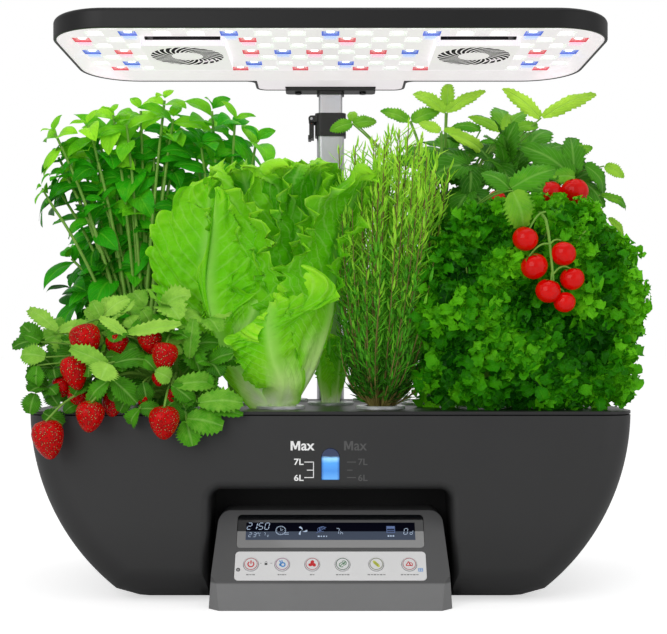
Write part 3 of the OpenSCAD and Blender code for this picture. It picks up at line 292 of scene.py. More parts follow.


# The window shows lit blue water under a dark dome, darker towards its sides by painted shade, with a bright
# waterline that is a painted highlight
def makeWindow():
    window = Finish("windowLit", (0.05, 0.3, 0.75), coatWeight=1.0, coatRoughness=0.04,
                    emissionStrength=0.55)
    height = window.across("Z") * 1000
    side = abs(window.across("X") * 1000)
    ripple = window.grain(5, 2, window.place((1, 1, 3)))
    level = window.fade(height + ripple * 1.2, 106.6, 108.2)
    depth = window.fade(height, 90, 107)
    # Painted shade towards the window's sides
    edge = window.fade(side, 4.6, 6.4)
    water = window.ramp(depth + ripple * 0.12, (0.0, (0.12, 0.40, 0.84)), (0.45, (0.04, 0.24, 0.68)),
                        (0.8, (0.06, 0.32, 0.8)), (0.97, (0.26, 0.6, 0.98)))
    water = window.tones(edge * 0.7, water, (0.01, 0.07, 0.3))
    lit = window.tones(level, water, (0.008, 0.02, 0.07))
    return window.feed(baseColor=lit, emissionColor=lit, roughness=ripple * 0.1 + 0.12)


finishes.update(tank=makeTankPlastic(), control=makeControlPlastic(), glass=makeGlass(), cup=makeCup(),
                sponge=makeSponge(), riser=makeRiser(), window=makeWindow())
print("finishes made")


# Tools that every piece is built with

def slopePoint():
    return Matrix.Translation((0, garden["slopeY"], garden["slopeZ"])) @ \
        Matrix.Rotation(garden["slopeAngle"], 4, "X")


# Points on an arc, from a start through a sweep in degrees
def arc(x, y, r, start, sweep, steps):
    turns = [rad(start + sweep * i / steps) for i in range(steps + 1)]
    return [(x + r * math.cos(a), y + r * math.sin(a)) for a in turns]


# The right half of an outline and its mirror image
def mirrored(right):
    return right + [(-x, y) for x, y in reversed(right)]


def outline(w, d, r, steps=14):
    w, d = w / 2 - r, d / 2 - r
    corners = enumerate(((w, d), (-w, d), (-w, -d), (w, -d)))
    return [p for quarter, (x, y) in corners for p in arc(x, y, r, 90 * quarter, 90, steps)]


# A flat grid one unit wide that carries its own map
def grid(columns, rows):
    bm = bmesh.new()
    bm.loops.layers.uv.new("UVMap")
    bmesh.ops.create_grid(bm, x_segments=columns, y_segments=rows, size=0.5, calc_uvs=True)
    return bm


def face(bm, points):
    return bm.faces.new([bm.verts.new(p) for p in points])


def outward(bm):
    bmesh.ops.recalc_face_normals(bm, faces=bm.faces)


def extrude(bm, faces, by):
    grown = bmesh.ops.extrude_face_region(bm, geom=faces)["geom"]
    bmesh.ops.translate(bm, vec=by, verts=[g for g in grown if isinstance(g, bmesh.types.BMVert)])
    return [g for g in grown if isinstance(g, bmesh.types.BMFace)]


# A closed block of the outline's shape, swept by a vector
def slab(points, by):
    bm = bmesh.new()
    extrude(bm, [face(bm, points)], by)
    outward(bm)
    return bm


# The same for an outline in X and Y, between two heights
def plate(points, z0, z1):
    return slab([(x, y, z0) for x, y in points], (0, 0, z1 - z0))


def loft(bm, rings, capped=True):
    loops = []
    for ring in rings:
        verts = [bm.verts.new(p) for p in ring]
        loops.append([bm.edges.new((verts[i], verts[(i + 1) % len(verts)])) for i in range(len(verts))])
    for near, far in zip(loops, loops[1:]):
        bmesh.ops.bridge_loops(bm, edges=near + far)
    if capped:
        bmesh.ops.contextual_create(bm, geom=loops[0])
        bmesh.ops.contextual_create(bm, geom=loops[-1])
    outward(bm)


def bevel(bm, edges, width, segments):
    bmesh.ops.bevel(bm, geom=edges, offset=width, offset_type="OFFSET", affect="EDGES",
                    segments=segments, profile=0.5, material=-1, clamp_overlap=True)


def bevelSharp(bm, width, segments, angle=30):
    bevel(bm, [e for e in bm.edges if e.is_manifold and e.calc_face_angle(0) > rad(angle)], width, segments)


def meshOf(bm, name="part"):
    mesh = bpy.data.meshes.new(name)
    bm.to_mesh(mesh)
    bm.free()
    return mesh


def join(bm, other, matrix=None):
    if matrix is not None:
        other.transform(matrix)
    bm.from_mesh(other)
    bpy.data.meshes.remove(other)


# The last step of every piece: to metres, soft shading, finishes and body
def finishPiece(name, bm, body, slot, looks, replaces=(), smoothAngle=33, even=True):
    bmesh.ops.scale(bm, vec=(0.001,) * 3, verts=bm.verts)
    for f in bm.faces:
        f.smooth = True
    for e in bm.edges:
        e.smooth = not e.is_manifold or e.calc_face_angle(0) < rad(smoothAngle)
    piece = bpy.data.objects.new(name, meshOf(bm, name))
    scene.collection.objects.link(piece)
    for look in looks:
        piece.data.materials.append(look.material)
    if even:
        piece.modifiers.new("evenNormals", "WEIGHTED_NORMAL").keep_sharp = True
    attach(piece, body)
    if replaces:
        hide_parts(*replaces)
    return piece


def meshOfCurve(curve):
    holder = bpy.data.objects.new("line", curve)
    scene.collection.objects.link(holder)
    bpy.context.view_layer.update()
    mesh = bpy.data.meshes.new_from_object(holder.evaluated_get(bpy.context.evaluated_depsgraph_get()))
    bpy.data.objects.remove(holder)
    bpy.data.curves.remove(curve)
    return mesh


# Cuts closed meshes out of another, and gives the result back in a bmesh
def carve(bm, cutters):
    work = bpy.data.objects.new("work", meshOf(bm))
    scene.collection.objects.link(work)
    tools = []
    for cutter in cutters:
        tool = bpy.data.objects.new("tool", meshOf(cutter))
        scene.collection.objects.link(tool)
        cut = work.modifiers.new("cut", "BOOLEAN")
        cut.operation, cut.solver, cut.object = "DIFFERENCE", "EXACT", tool
        tools.append(tool)
    bpy.context.view_layer.update()
    done = bpy.data.meshes.new_from_object(work.evaluated_get(bpy.context.evaluated_depsgraph_get()))
    for thing in tools + [work]:
        used = thing.data
        bpy.data.objects.remove(thing)
        bpy.data.meshes.remove(used)
    result = bmesh.new()
    result.from_mesh(done)
    bpy.data.meshes.remove(done)
    return result


def bodyOf(node):
    return next(b for b, names in frame["record"]["behaviour"]["bodies"].items() if node in names)


def slotOf(node):
    return next(s["material_slot"] for s in frame["record"]["subparts"] if s["node"] == node)


# A CAD node as it is, with a finish of its own
def dress(names, look):
    for name in names.split():
        for holder in nodes[name].material_slots:
            holder.material = finishes[look].material


# How near vertices are merged, in mm, and up to what angle faces count as one flat face
softening = dict(weld=0.004, flat=rad(1.2))


# A CAD node with its triangles merged and its edges rounded
def soften(name, piece, look, width, segments=2, angle=30):
    bm = bmesh.new()
    bm.from_mesh(nodes[name].data)
    bmesh.ops.scale(bm, vec=(1000,) * 3, verts=bm.verts)
    bmesh.ops.remove_doubles(bm, verts=bm.verts, dist=softening["weld"])
    bmesh.ops.dissolve_limit(bm, angle_limit=softening["flat"], verts=bm.verts, edges=bm.edges)
    bevelSharp(bm, width, segments, angle)
    return finishPiece(piece, bm, bodyOf(name), slotOf(name), [finishes[look]], [name])


# Camera, floor and light

view = dict(eye=(0, -0.976, 0.1888), lens=64.8, shiftX=0.0045, shiftY=0.042)


def makeCamera():
    camera = bpy.data.cameras.new("camera")
    camera.lens, camera.sensor_width = view["lens"], 36
    camera.shift_x, camera.shift_y = view["shiftX"], view["shiftY"]
    holder = bpy.data.objects.new("camera", camera)
    holder.location, holder.rotation_euler = view["eye"], (rad(90), 0, 0)
    scene.collection.objects.link(holder)
    scene.camera = holder


# Each lamp: power, size, place and the point it shines at, in metres
light = dict(world=0.5, floor=(0.86, 0.86, 0.865), floorLift=0.6,
             lamps=dict(keyLight=(6.5, 1.1, (-0.75, -1.35, 0.8), (0, 0, 0.22)),
                        fillLight=(3.0, 1.4, (1.2, -1.0, 0.45), (0, 0, 0.2)),
                        topLight=(2.4, 1.0, (0.1, -0.1, 1.4), (0, 0, 0.3))))


def makeStudio():
    bm = bmesh.new()
    bmesh.ops.create_grid(bm, x_segments=1, y_segments=1, size=14)
    floor = bpy.data.objects.new("floor", meshOf(bm, "floor"))
    scene.collection.objects.link(floor)
    look = Finish("floorPale", light["floor"], roughness=0.7, emissionStrength=1)
    path = look.add("ShaderNodeLightPath", out="Is Camera Ray")
    look.feed(emissionColor=look.tones(path, (0, 0, 0), (light["floorLift"],) * 3))
    floor.data.materials.append(look.material)

    world = bpy.data.worlds.new("studio")
    world.use_nodes = True
    scene.world = world
    tree = world.node_tree
    back = tree.nodes["Background"]
    back.inputs["Color"].default_value = (1, 1, 1, 1)
    rays = tree.nodes.new("ShaderNodeLightPath")
    seen = tree.nodes.new("ShaderNodeMath")
    seen.operation = "MAXIMUM"
    tree.links.new(rays.outputs["Is Camera Ray"], seen.inputs[0])
    tree.links.new(rays.outputs["Is Transmission Ray"], seen.inputs[1])
    level = tree.nodes.new("ShaderNodeMapRange")
    level.inputs["To Min"].default_value = light["world"]
    level.inputs["To Max"].default_value = 1.0
    tree.links.new(seen.outputs[0], level.inputs["Value"])
    tree.links.new(level.outputs[0], back.inputs["Strength"])

    for name, (power, size, at, target) in light["lamps"].items():
        lamp = bpy.data.lights.new(name, "AREA")
        lamp.energy, lamp.size = power, size
        holder = bpy.data.objects.new(name, lamp)
        holder.location = at
        holder.rotation_euler = (Vector(target) - Vector(at)).to_track_quat("-Z", "Y").to_euler()
        scene.collection.objects.link(holder)


makeCamera()
makeStudio()
print("camera, floor and light set")


# Tank, water window, level marks and deck

tankShape = dict(endRadius=170, edgeRadius=25, wall=2.6, halfWidth=224.5, toeHeight=7, toeIn=19,
                 arcSteps=44, edgeSteps=9, footX=112.25, footY=(-49, 53), footRadius=9.2, footDepth=5.4,
                 ductHalf=6, ductTop=9.5, ductWall=2)


# Front outline of the tank, moved in by the inset, as in the solids
def tankOutline(inset, top):
    t = tankShape
    deck = garden["deckZ"]
    arcX = t["halfWidth"] - t["endRadius"]
    toe = math.asin((deck - t["toeHeight"]) / t["endRadius"])
    base = arcX + t["endRadius"] * math.cos(toe) - t["toeIn"] - inset * 0.6
    r = t["endRadius"] - inset
    turns = [-toe * (1 - i / t["arcSteps"]) for i in range(t["arcSteps"] + 1)]
    low = garden["footStand"] + inset
    return mirrored([(base - 6, low), (base + 1.5, low + 0.6)]
                    + [(arcX + r * math.cos(a), deck + r * math.sin(a)) for a in turns] + [(arcX + r, top)])


# The steps of a quarter round at the tank's front: how far the outline moves, and Y
def quarterRound(r, steps, inset=0):
    turns = [rad(90 * (1 - i / steps)) for i in range(steps + 1)]
    return [(inset + r * (1 - math.cos(a)), garden["frontY"] + inset + r * (1 - math.sin(a))) for a in turns]


def tankBody(inset, top=182):
    bm = bmesh.new()
    rings = quarterRound(tankShape["edgeRadius"] - inset, tankShape["edgeSteps"], inset)
    rings += [(moved, garden["frontY"] + garden["rearY"] - y) for moved, y in reversed(rings)]
    loft(bm, [[(x, y, z) for x, z in tankOutline(moved, top)] for moved, y in rings])
    return bm


bayShape = dict(low=90.5, high=88, height=83, corner=8, mouth=7, backY=-55)


def bayOutline(grow):
    b = bayShape
    r = b["corner"] + grow
    high, top = b["high"] + grow, b["height"] + grow
    return mirrored([(b["low"] + grow, -4)] + arc(high - r, top - r, r, 0, 90, 10))


# The bay widens towards the front in a quarter round
def bayCutter():
    bm = bmesh.new()
    m = bayShape["mouth"]
    steps = [(m, garden["frontY"] - 6), (m, garden["frontY"] - 0.02), *quarterRound(m, 8)[1:],
             (0, bayShape["backY"])]
    loft(bm, [[(x, y, z) for x, z in bayOutline(flare)] for flare, y in steps])
    return bm


def block(x0, x1, y0, y1, z0, z1):
    return plate([(x0, y0), (x1, y0), (x1, y1), (x0, y1)], z0, z1)


windowShape = dict(width=13.6, bottom=90.2, height=23.4, archSteps=20)


def windowOutline(grow):
    w = windowShape
    r = w["width"] / 2 + grow
    top = w["bottom"] + w["height"] - w["width"] / 2
    low = w["bottom"] - grow
    return [(r, low)] + arc(0, top, r, 0, 180, w["archSteps"]) + [(-r, low)]


def windowBlock(grow, y0, y1):
    return slab([(x, y0, z) for x, z in windowOutline(grow)], (0, y1 - y0, 0))


def makeTank():
    t = tankShape
    front, rear, rim = garden["frontY"], garden["rearY"], garden["rimZ"]
    hollow = tankBody(t["wall"], 190)
    keep = bmesh.new()
    loft(keep, [[(x, y, z) for x, z in bayOutline(t["wall"])]
                for y in (front - 9, bayShape["backY"] + t["wall"])])
    half, top, wall = t["ductHalf"], t["ductTop"], t["ductWall"]
    hollow = carve(hollow, [keep, block(-half - wall, half + wall, bayShape["backY"] - 1, rear + 4,
                                        -4, top + wall)])
    feet = bmesh.new()
    for x in (-t["footX"], t["footX"]):
        for y in t["footY"]:
            bmesh.ops.create_cone(feet, cap_ends=True, segments=48, radius1=t["footRadius"],
                                  radius2=t["footRadius"], depth=t["footDepth"],
                                  matrix=Matrix.Translation((x, y, 0)))
    shell = carve(tankBody(0), [block(-300, 300, -200, 220, rim, 260), hollow, bayCutter(),
                                block(-half, half, bayShape["backY"] - 3, rear + 3, -4, top),
                                windowBlock(0, front - 3, front + 8), feet])
    bmesh.ops.remove_doubles(shell, verts=shell.verts, dist=weld)
    finishPiece("tankShell", shell, "base", "tank_black", [finishes["tank"]], ["tank"], 24)


def makeWindowPiece():
    bm = windowBlock(-0.15, garden["frontY"] + 0.5, garden["frontY"] + 4.2)
    bevelSharp(bm, 0.5, 3)
    finishPiece("waterWindow", bm, "base", "window_clear", [finishes["window"]], ["water_window"])


# A word or number as a flat mesh that fills the given box, in X and Z
def lettering(words, x0, x1, z0, z1, y, thick=0.12, weight=0.02):
    curve = bpy.data.curves.new("words", "FONT")
    curve.body, curve.offset, curve.extrude = words, weight, 0.01
    mesh = meshOfCurve(curve)
    xs = [v.co.x for v in mesh.vertices]
    ys = [v.co.y for v in mesh.vertices]
    wide, tall = (x1 - x0) / (max(xs) - min(xs)), (z1 - z0) / (max(ys) - min(ys))
    flat = Matrix.Translation((x0, y, z0)) @ Matrix.Rotation(rad(90), 4, "X") @ \
        Matrix.Diagonal((wide, tall, thick * 50, 1)) @ Matrix.Translation((-min(xs), -min(ys), 0))
    mesh.transform(flat)
    return mesh


# The letter M in thick strokes that fills the given box
def capitalM(x0, x1, z0, z1, y, thick=0.1):
    corners = [(0, 0), (0, 1), (0.27, 1), (0.5, 0.42), (0.73, 1), (1, 1), (1, 0), (0.79, 0), (0.79, 0.66),
               (0.58, 0.12), (0.42, 0.12), (0.21, 0.66), (0.21, 0)]
    front = [(x0 + (x1 - x0) * u, y - thick, z0 + (z1 - z0) * v) for u, v in corners]
    return meshOf(slab(front, (0, 2 * thick, 0)))


# Level marks: for each side the M, the rest of the word and the digits from and to in X, the weight of the
# letters, and the lines as X and Z from and to
marks = dict(
    line=0.62, thick=0.1, capital=(111.9, 118.7), small=(111.8, 117.0),
    digits=(("7L", 101.2, 105.9), ("6L", 89.6, 94.2)),
    left=((-29.1, -22.1), (-21.4, -11.6), (-26.6, -19.6), 0.02,
          ((-19.1, -12.1, 103.4, 103.4), (-19.1, -12.1, 92.1, 92.1), (-12.7, -12.1, 92.1, 103.4),
           (-17.2, -12.5, 97.5, 97.5))),
    right=((9.9, 16.5), (17.3, 26.6), (20.2, 27.0), 0.01,
           ((12, 18.6, 103.4, 103.4), (12, 18.6, 92.1, 92.1), (12, 16, 97.5, 97.5))))


def makeMarks(side, name, ink):
    y, t = garden["frontY"] + 0.02, marks["line"] / 2
    bm = bmesh.new()
    capital, small, digits, weight, lines = marks[side]
    join(bm, capitalM(*capital, *marks["capital"], y))
    join(bm, lettering("ax", *small, *marks["small"], y, weight=weight))
    for words, z0, z1 in marks["digits"]:
        join(bm, lettering(words, *digits, z0, z1, y, weight=weight))
    for x0, x1, z0, z1 in lines:
        join(bm, meshOf(block(x0, x1, y - marks["thick"], y + marks["thick"], z0 - t, z1 + t)))
    finishPiece(name, bm, "base", "tank_black", [ink], even=False)


makeTank()
makeWindowPiece()
makeMarks("left", "levelMarks", printedMark("markWhite", (0.88, 0.88, 0.88), 0.12))
makeMarks("right", "levelMarksPlain", printedMark("markGrey", (0.1, 0.1, 0.1), 0.0, 0.6))
soften("deck", "deckPlate", "deck", 0.45, 3)
soften("fill_lid", "fillLid", "lid", 0.3)
dress("tank_feet", "rubber")
soften("pole_socket", "poleSocket", "deck", 0.5, 3)
print("tank, window and deck made")


# Pole and clamp

dress("outer_tube inner_tube", "tube")
dress("lever_pin", "steel")
dress("bracket_screws", "screw")
soften("clamp_collar", "clampCollar", "black", 0.4, 3)
soften("clamp_lever", "clampLever", "black", 0.45, 3)
soften("light_bracket", "lightBracket", "black", 0.4, 2)
dress("power_socket", "black")
print("pole and clamp made")


# Lamp head

lampShape = dict(width=423.5, depth=181.5, corner=46, edge=3.6, lowEdge=0.7, wall=2.2, midY=-9.25,
                 tabWidth=134, tabY=118.4, tabCorner=10, tabHollow=8, pocket=2.0, ceiling=433.7,
                 fan=(115, -11), grille=58, hub=25)


# Plan of the cover: a long rounded plate with a tab at the back
def coverPlan():
    s = lampShape
    w, d, r = s["width"] / 2, s["depth"] / 2, s["corner"]
    rear, tab, small, hollow = s["midY"] + d, s["tabWidth"] / 2, s["tabCorner"], s["tabHollow"]
    return mirrored(arc(w - r, s["midY"] - d + r, r, -90, 90, 18) + arc(w - r, rear - r, r, 0, 90, 18)
                    + arc(tab + hollow, rear + hollow, hollow, -90, -90, 8)
                    + arc(tab - small, s["tabY"] - small, small, 0, 90, 8))


def makeCover():
    s = lampShape
    bm = plate(coverPlan(), garden["lightZ"], garden["lightTop"])
    rim = [e for e in bm.edges if all(v.co.z > garden["lightTop"] - 0.01 for v in e.verts)]
    bevel(bm, rim, s["edge"], 7)
    low = [e for e in bm.edges if all(v.co.z < garden["lightZ"] + 0.01 for v in e.verts)
           and e.calc_face_angle(0) > 1]
    bevel(bm, low, s["lowEdge"], 3)
    inside = outline(s["width"] - 2 * s["wall"], s["depth"] - 2 * s["wall"], s["corner"] - s["wall"], 18)
    hollow = plate([(x, y + s["midY"]) for x, y in inside], garden["lightZ"] - 5, s["ceiling"])
    rear, corner = s["tabY"] - s["wall"], s["tabCorner"] - s["wall"]
    behind = outline(s["tabWidth"] - 2 * s["wall"], 48, corner)
    pocket = plate([(x, y + rear - 24) for x, y in behind], garden["lightZ"] - 5,
                   garden["lightZ"] + s["pocket"])
    low, high = (Vector(v) * 1000 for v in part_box("light_bracket"))
    pad = block(low.x - 0.2, high.x + 0.2, low.y - 0.2, high.y + 40,
                garden["lightZ"] - 8, garden["lightZ"] + 9)
    bm = carve(bm, [hollow, carve(pocket, [pad])])
    bmesh.ops.remove_doubles(bm, verts=bm.verts, dist=weld)
    finishPiece("lampCover", bm, "light", "lamp_black", [finishes["lamp"]], ["light_housing"], 28)


makeCover()
soften("light_frame", "lampFrame", "lampWhitePaintedGlow", 0.3, 1, 25)
dress("led_board", "board")


# Fan cover: white outside, with the dark fan finish on the walls inside the slots of its grille as painted
# shade
def makeFanCover(side):
    piece = soften("fan_cover_" + side, "fanCover" + side.title(), "lampWhitePaintedGlow", 0.3, 1, 40)
    piece.data.materials.append(finishes["fan"].material)
    x, y = lampShape["fan"][0] * (-1 if side == "left" else 1), lampShape["fan"][1]
    for polygon in piece.data.polygons:
        away = math.hypot(polygon.center.x * 1000 - x, polygon.center.y * 1000 - y)
        inGrille = lampShape["hub"] / 2 - 0.5 < away < lampShape["grille"] / 2 + 0.5
        # Painted shade: the slot walls take the dark fan finish
        if abs(polygon.normal.z) < 0.6 and inGrille:
            polygon.material_index = 1


makeFanCover("left")
makeFanCover("right")
dress("fan_frame_left fan_frame_right", "fan")
dress("fan_rotor_left fan_rotor_right", "rotor")


# Each diode is a small bright dome in its tray; its coloured light is painted onto the tray's walls as a
# glowing tint, and for red and blue diodes onto the board beside it as a painted halo
diodes = dict(floor=430.1, mouth=14, base=8, trayDepth=1.9, dome=0.8, ledZ=428.1, halo=13, haloEnd=73)


# The middle of every separate diode in a node, in mm
def diodeCentres(node):
    centres = []
    mesh = nodes[node].data
    bm = bmesh.new()
    bm.from_mesh(mesh)
    bmesh.ops.remove_doubles(bm, verts=bm.verts, dist=0.00001)
    todo = dict.fromkeys(bm.verts)
    while todo:
        island, front = [], [todo.popitem()[0]]
        while front:
            v = front.pop()
            island.append(v)
            for e in v.link_edges:
                w = e.other_vert(v)
                if w in todo:
                    del todo[w]
                    front.append(w)
        centres.append(sum((v.co for v in island), Vector()) / len(island) * 1000)
    bm.free()
    return centres


# wall is the glowing tint painted on the tray walls, not their own colour
def makeDiodes(node, name, slot, colour, wall, shine, size, halo=None):
    lens, liner, cast = bmesh.new(), bmesh.new(), bmesh.new()
    cast.loops.layers.uv.new("UVMap")
    for c in diodeCentres(node):
        part = bmesh.new()
        bmesh.ops.create_grid(part, x_segments=4, y_segments=4, size=size)
        for v in part.verts:
            swell = [max(0, 1 - (off / size / 1.04) ** 2) for off in v.co.xy]
            v.co.z = -diodes["dome"] * swell[0] * swell[1]
        join(lens, meshOf(part), Matrix.Translation((c.x, c.y, diodes["floor"] - 0.5)))
        part = bmesh.new()
        levels = ((diodes["base"] / 2 - 0.1, 0), (diodes["mouth"] / 2 - 0.25, -diodes["trayDepth"]))
        loft(part, [[(x * half, y * half, z) for x, y in ((1, 1), (-1, 1), (-1, -1), (1, -1))]
                    for half, z in levels], False)
        join(liner, meshOf(part), Matrix.Translation((c.x, c.y, diodes["floor"] - 0.04)))
        near = c.y + diodes["mouth"] / 2
        if halo and near < diodes["haloEnd"] - 4:
            part = grid(1, 1)
            far = min(near + diodes["halo"], diodes["haloEnd"])
            bmesh.ops.scale(part, vec=(diodes["mouth"] - 2, far - near, -1), verts=part.verts)
            join(cast, meshOf(part), Matrix.Translation((c.x, (near + far) / 2, diodes["ledZ"] - 0.07)))
    hot = Finish(name + "Hot", (1, 1, 1), emissionColor=colour, emissionStrength=shine)
    hot.feed(roughness=hot.grain(1, 2) * 0.1 + 0.2)
    finishPiece(name + "Lenses", lens, "light", slot, [hot], [node], even=False)
    # Painted light: the walls take the diode's colour and glow, paler towards the diode
    tint = Finish(name + "Tray", wall, emissionStrength=0.5)
    depth = tint.fade(tint.across("Z") * 1000, 428.2, 430)
    tone = tint.tones(depth, wall, tuple(0.4 + 0.6 * c for c in wall))
    tint.feed(baseColor=tone, emissionColor=tone)
    finishPiece(name + "TrayWalls", liner, "light", slot, [tint], even=False)
    # Painted light: a fading sheet of the diode's colour on the board beside its tray
    if halo:
        glow = Finish(name + "Glow", halo, emissionColor=halo, emissionStrength=0.62,
                      specularIorLevel=0.0)
        spot = glow.add("ShaderNodeTexCoord", out="UV")
        side = glow.fade(abs(glow.across("X", spot) - 0.5), 0.5, 0.36)
        fade = glow.fade(glow.across("Y", spot), 1.0, 0.1)
        glow.feed(alpha=side * fade * 0.8)
        finishPiece(name + "Halo", cast, "light", slot, [glow], even=False)


makeDiodes("leds_white", "diodeWhite", "led_white", (1, 0.98, 0.95), (0.94, 0.92, 0.95), 2.2, 3.6)
makeDiodes("leds_red", "diodeRed", "led_red", (1, 0.62, 0.68), (0.72, 0.006, 0.05), 5, 2.8,
           (1.0, 0.5, 0.7))
makeDiodes("leds_blue", "diodeBlue", "led_blue", (0.6, 0.72, 1), (0.012, 0.08, 0.66), 5, 2.8,
           (0.4, 0.56, 1.0))
print("lamp head made")


# Control unit

soften("control_housing", "controlHousing", "control", 0.9, 3, 25)
dress("control_base", "black")
soften("button_plate", "buttonPlate", "plate", 0.3, 2)
dress("control_board", "circuit")
dress("lcd_panel", "glass")
soften("display_glass", "displayGlass", "glass", 0.3, 2)


# Marks on the sloping face, with X across, Y up the slope and Z outwards
class SlopeMarks:
    def __init__(self, lift, x=0, y=0):
        self.bm, self.lift, self.x, self.y = bmesh.new(), lift, x, y

    def patch(self, points, thick=0.08):
        base = [(self.x + x, self.y + y, self.lift) for x, y in points]
        join(self.bm, meshOf(slab(base, (0, 0, thick))))

    def bar(self, x, y, w, h, lean=0.0):
        w, h, shift = w / 2, h / 2, lean * h / 2
        self.patch([(x - w - shift, y - h), (x + w - shift, y - h), (x + w + shift, y + h),
                    (x - w + shift, y + h)])

    def line(self, x0, y0, x1, y1, w):
        along = Vector((x1 - x0, y1 - y0))
        side = Vector((-along.y, along.x)).normalized() * w / 2
        self.patch([(x0 + side.x, y0 + side.y), (x0 - side.x, y0 - side.y),
                    (x1 - side.x, y1 - side.y), (x1 + side.x, y1 + side.y)])

    def ring(self, x, y, r, w, start=0.0, sweep=360.0, steps=40):
        n = max(4, int(steps * sweep / 360))
        near, far = (arc(x, y, r + half, start, sweep, n) for half in (-w / 2, w / 2))
        for i in range(n):
            self.patch([near[i], far[i], far[i + 1], near[i + 1]])

    def blob(self, x, y, rx, ry, turn=0.0, steps=20):
        points = []
        for i in range(steps):
            a = rad(360 * i / steps)
            u, v = rx * math.cos(a), ry * math.sin(a)
            points.append((x + u * math.cos(turn) - v * math.sin(turn),
                           y + u * math.sin(turn) + v * math.cos(turn)))
        self.patch(points)

    # One blade of a fan symbol, curved towards its tip
    def blade(self, x, y, r, turn, wide=0.5):
        points = []
        for i in range(9):
            t = i / 8
            a = turn + 0.9 * t
            points.append((x + r * t * math.cos(a), y + r * t * math.sin(a)))
        for i in range(8, 0, -1):
            t = i / 8
            a = turn + 0.9 * t + wide * math.sin(math.pi * min(1, t * 0.8)) * 1.6
            points.append((x + r * t * math.cos(a) * 0.98, y + r * t * math.sin(a) * 0.98))
        self.patch(points)

    # A digit of seven leaning bars
    def digit(self, sign, x, y, w, h, t, lean=0.18):
        lit = {"0": "abcdef", "1": "bc", "2": "abged", "3": "abgcd", "5": "afgcd", "7": "abc",
               "h": "fegc", "d": "bcdeg", "C": "afed", "c": "ged"}[sign]
        for part in lit:
            px, py, level = {"a": (0, h / 2, 1), "g": (0, 0, 1), "d": (0, -h / 2, 1),
                             "f": (-w / 2, h / 4, 0), "b": (w / 2, h / 4, 0),
                             "e": (-w / 2, -h / 4, 0), "c": (w / 2, -h / 4, 0)}[part]
            if level:
                self.bar(x + px + lean * py, y + py, w - t * 1.5, t)
            else:
                self.bar(x + px + lean * py, y + py, t, h / 2 - t * 1.3, lean)

    def draw(self, kind, *numbers):
        dict(ring=self.ring, line=self.line, blob=self.blob)[kind](*numbers)

    def finish(self, name, slot, look, body="base"):
        bmesh.ops.transform(self.bm, matrix=slopePoint(), verts=self.bm.verts)
        return finishPiece(name, self.bm, body, slot, [look], even=False)


# Everything on the display, as X and the height up the slope, in mm
display = dict(
    lcd=(-62, 62, 34.9, 49.5), lift=0.21, clock=(-36.5, 42.8), clockRadius=3.6, fan=(-20.8, 42.6, 3.9),
    digits=(  # sign, place, width, height and stroke
        ("2", -59.5, 46.4, 2.9, 5.4, 0.5), ("1", -55.6, 46.4, 2.9, 5.4, 0.5),
        ("5", -51.2, 46.4, 2.9, 5.4, 0.5), ("0", -46.6, 46.4, 2.9, 5.4, 0.5),
        ("2", -58.8, 39.2, 1.9, 3.4, 0.36), ("3", -55.4, 39.2, 1.9, 3.4, 0.36),
        ("C", -51.6, 39.5, 1.1, 2.2, 0.28), ("7", -48.4, 39.8, 1.3, 2.4, 0.3),
        ("c", -45.6, 38.8, 1.3, 2.2, 0.3), ("7", 5.0, 42.2, 2.3, 4.6, 0.4),
        ("h", 8.2, 41.0, 1.7, 3.0, 0.34), ("0", 55.2, 42.0, 2.5, 4.8, 0.42),
        ("d", 59.3, 41.2, 1.9, 3.4, 0.36)),
    bars=(  # place, width and height: colon, clock's note and two short words
        (-53.4, 47.6, 0.55, 0.55), (-53.8, 45.4, 0.55, 0.55),
        (-32.2, 39.6, 3.2, 0.35), (-32.2, 40.8, 3.2, 0.35),
        (-8.6, 37.9, 1.4, 1.0), (-6.7, 37.9, 0.9, 1.0), (-4.8, 37.9, 1.2, 1.0), (-2.9, 37.9, 0.8, 1.0),
        (42.4, 38.2, 1.2, 1.2), (44.2, 38.2, 1.0, 1.2), (46.0, 38.2, 1.2, 1.2)),
    calendar=((41.3, 43.6, 0.4, 5.4), (47.1, 43.6, 0.4, 5.4), (44.2, 41, 6.2, 0.45), (44.2, 42.6, 6.2, 0.45),
              (44.2, 44.2, 6.2, 0.45), (44.2, 46.2, 6.2, 0.45), (44.2, 45.3, 6.2, 1.3)),
    swirls=((-7.4, 43.4, 20), (-6.2, 43.88, -10), (-5.8, 44.04, 44)),
    strokes=((-10.4, 40.6, -3.2, 45.6, 0.35), (-8.4, 42.2, -6.0, 46.0, 0.3)))


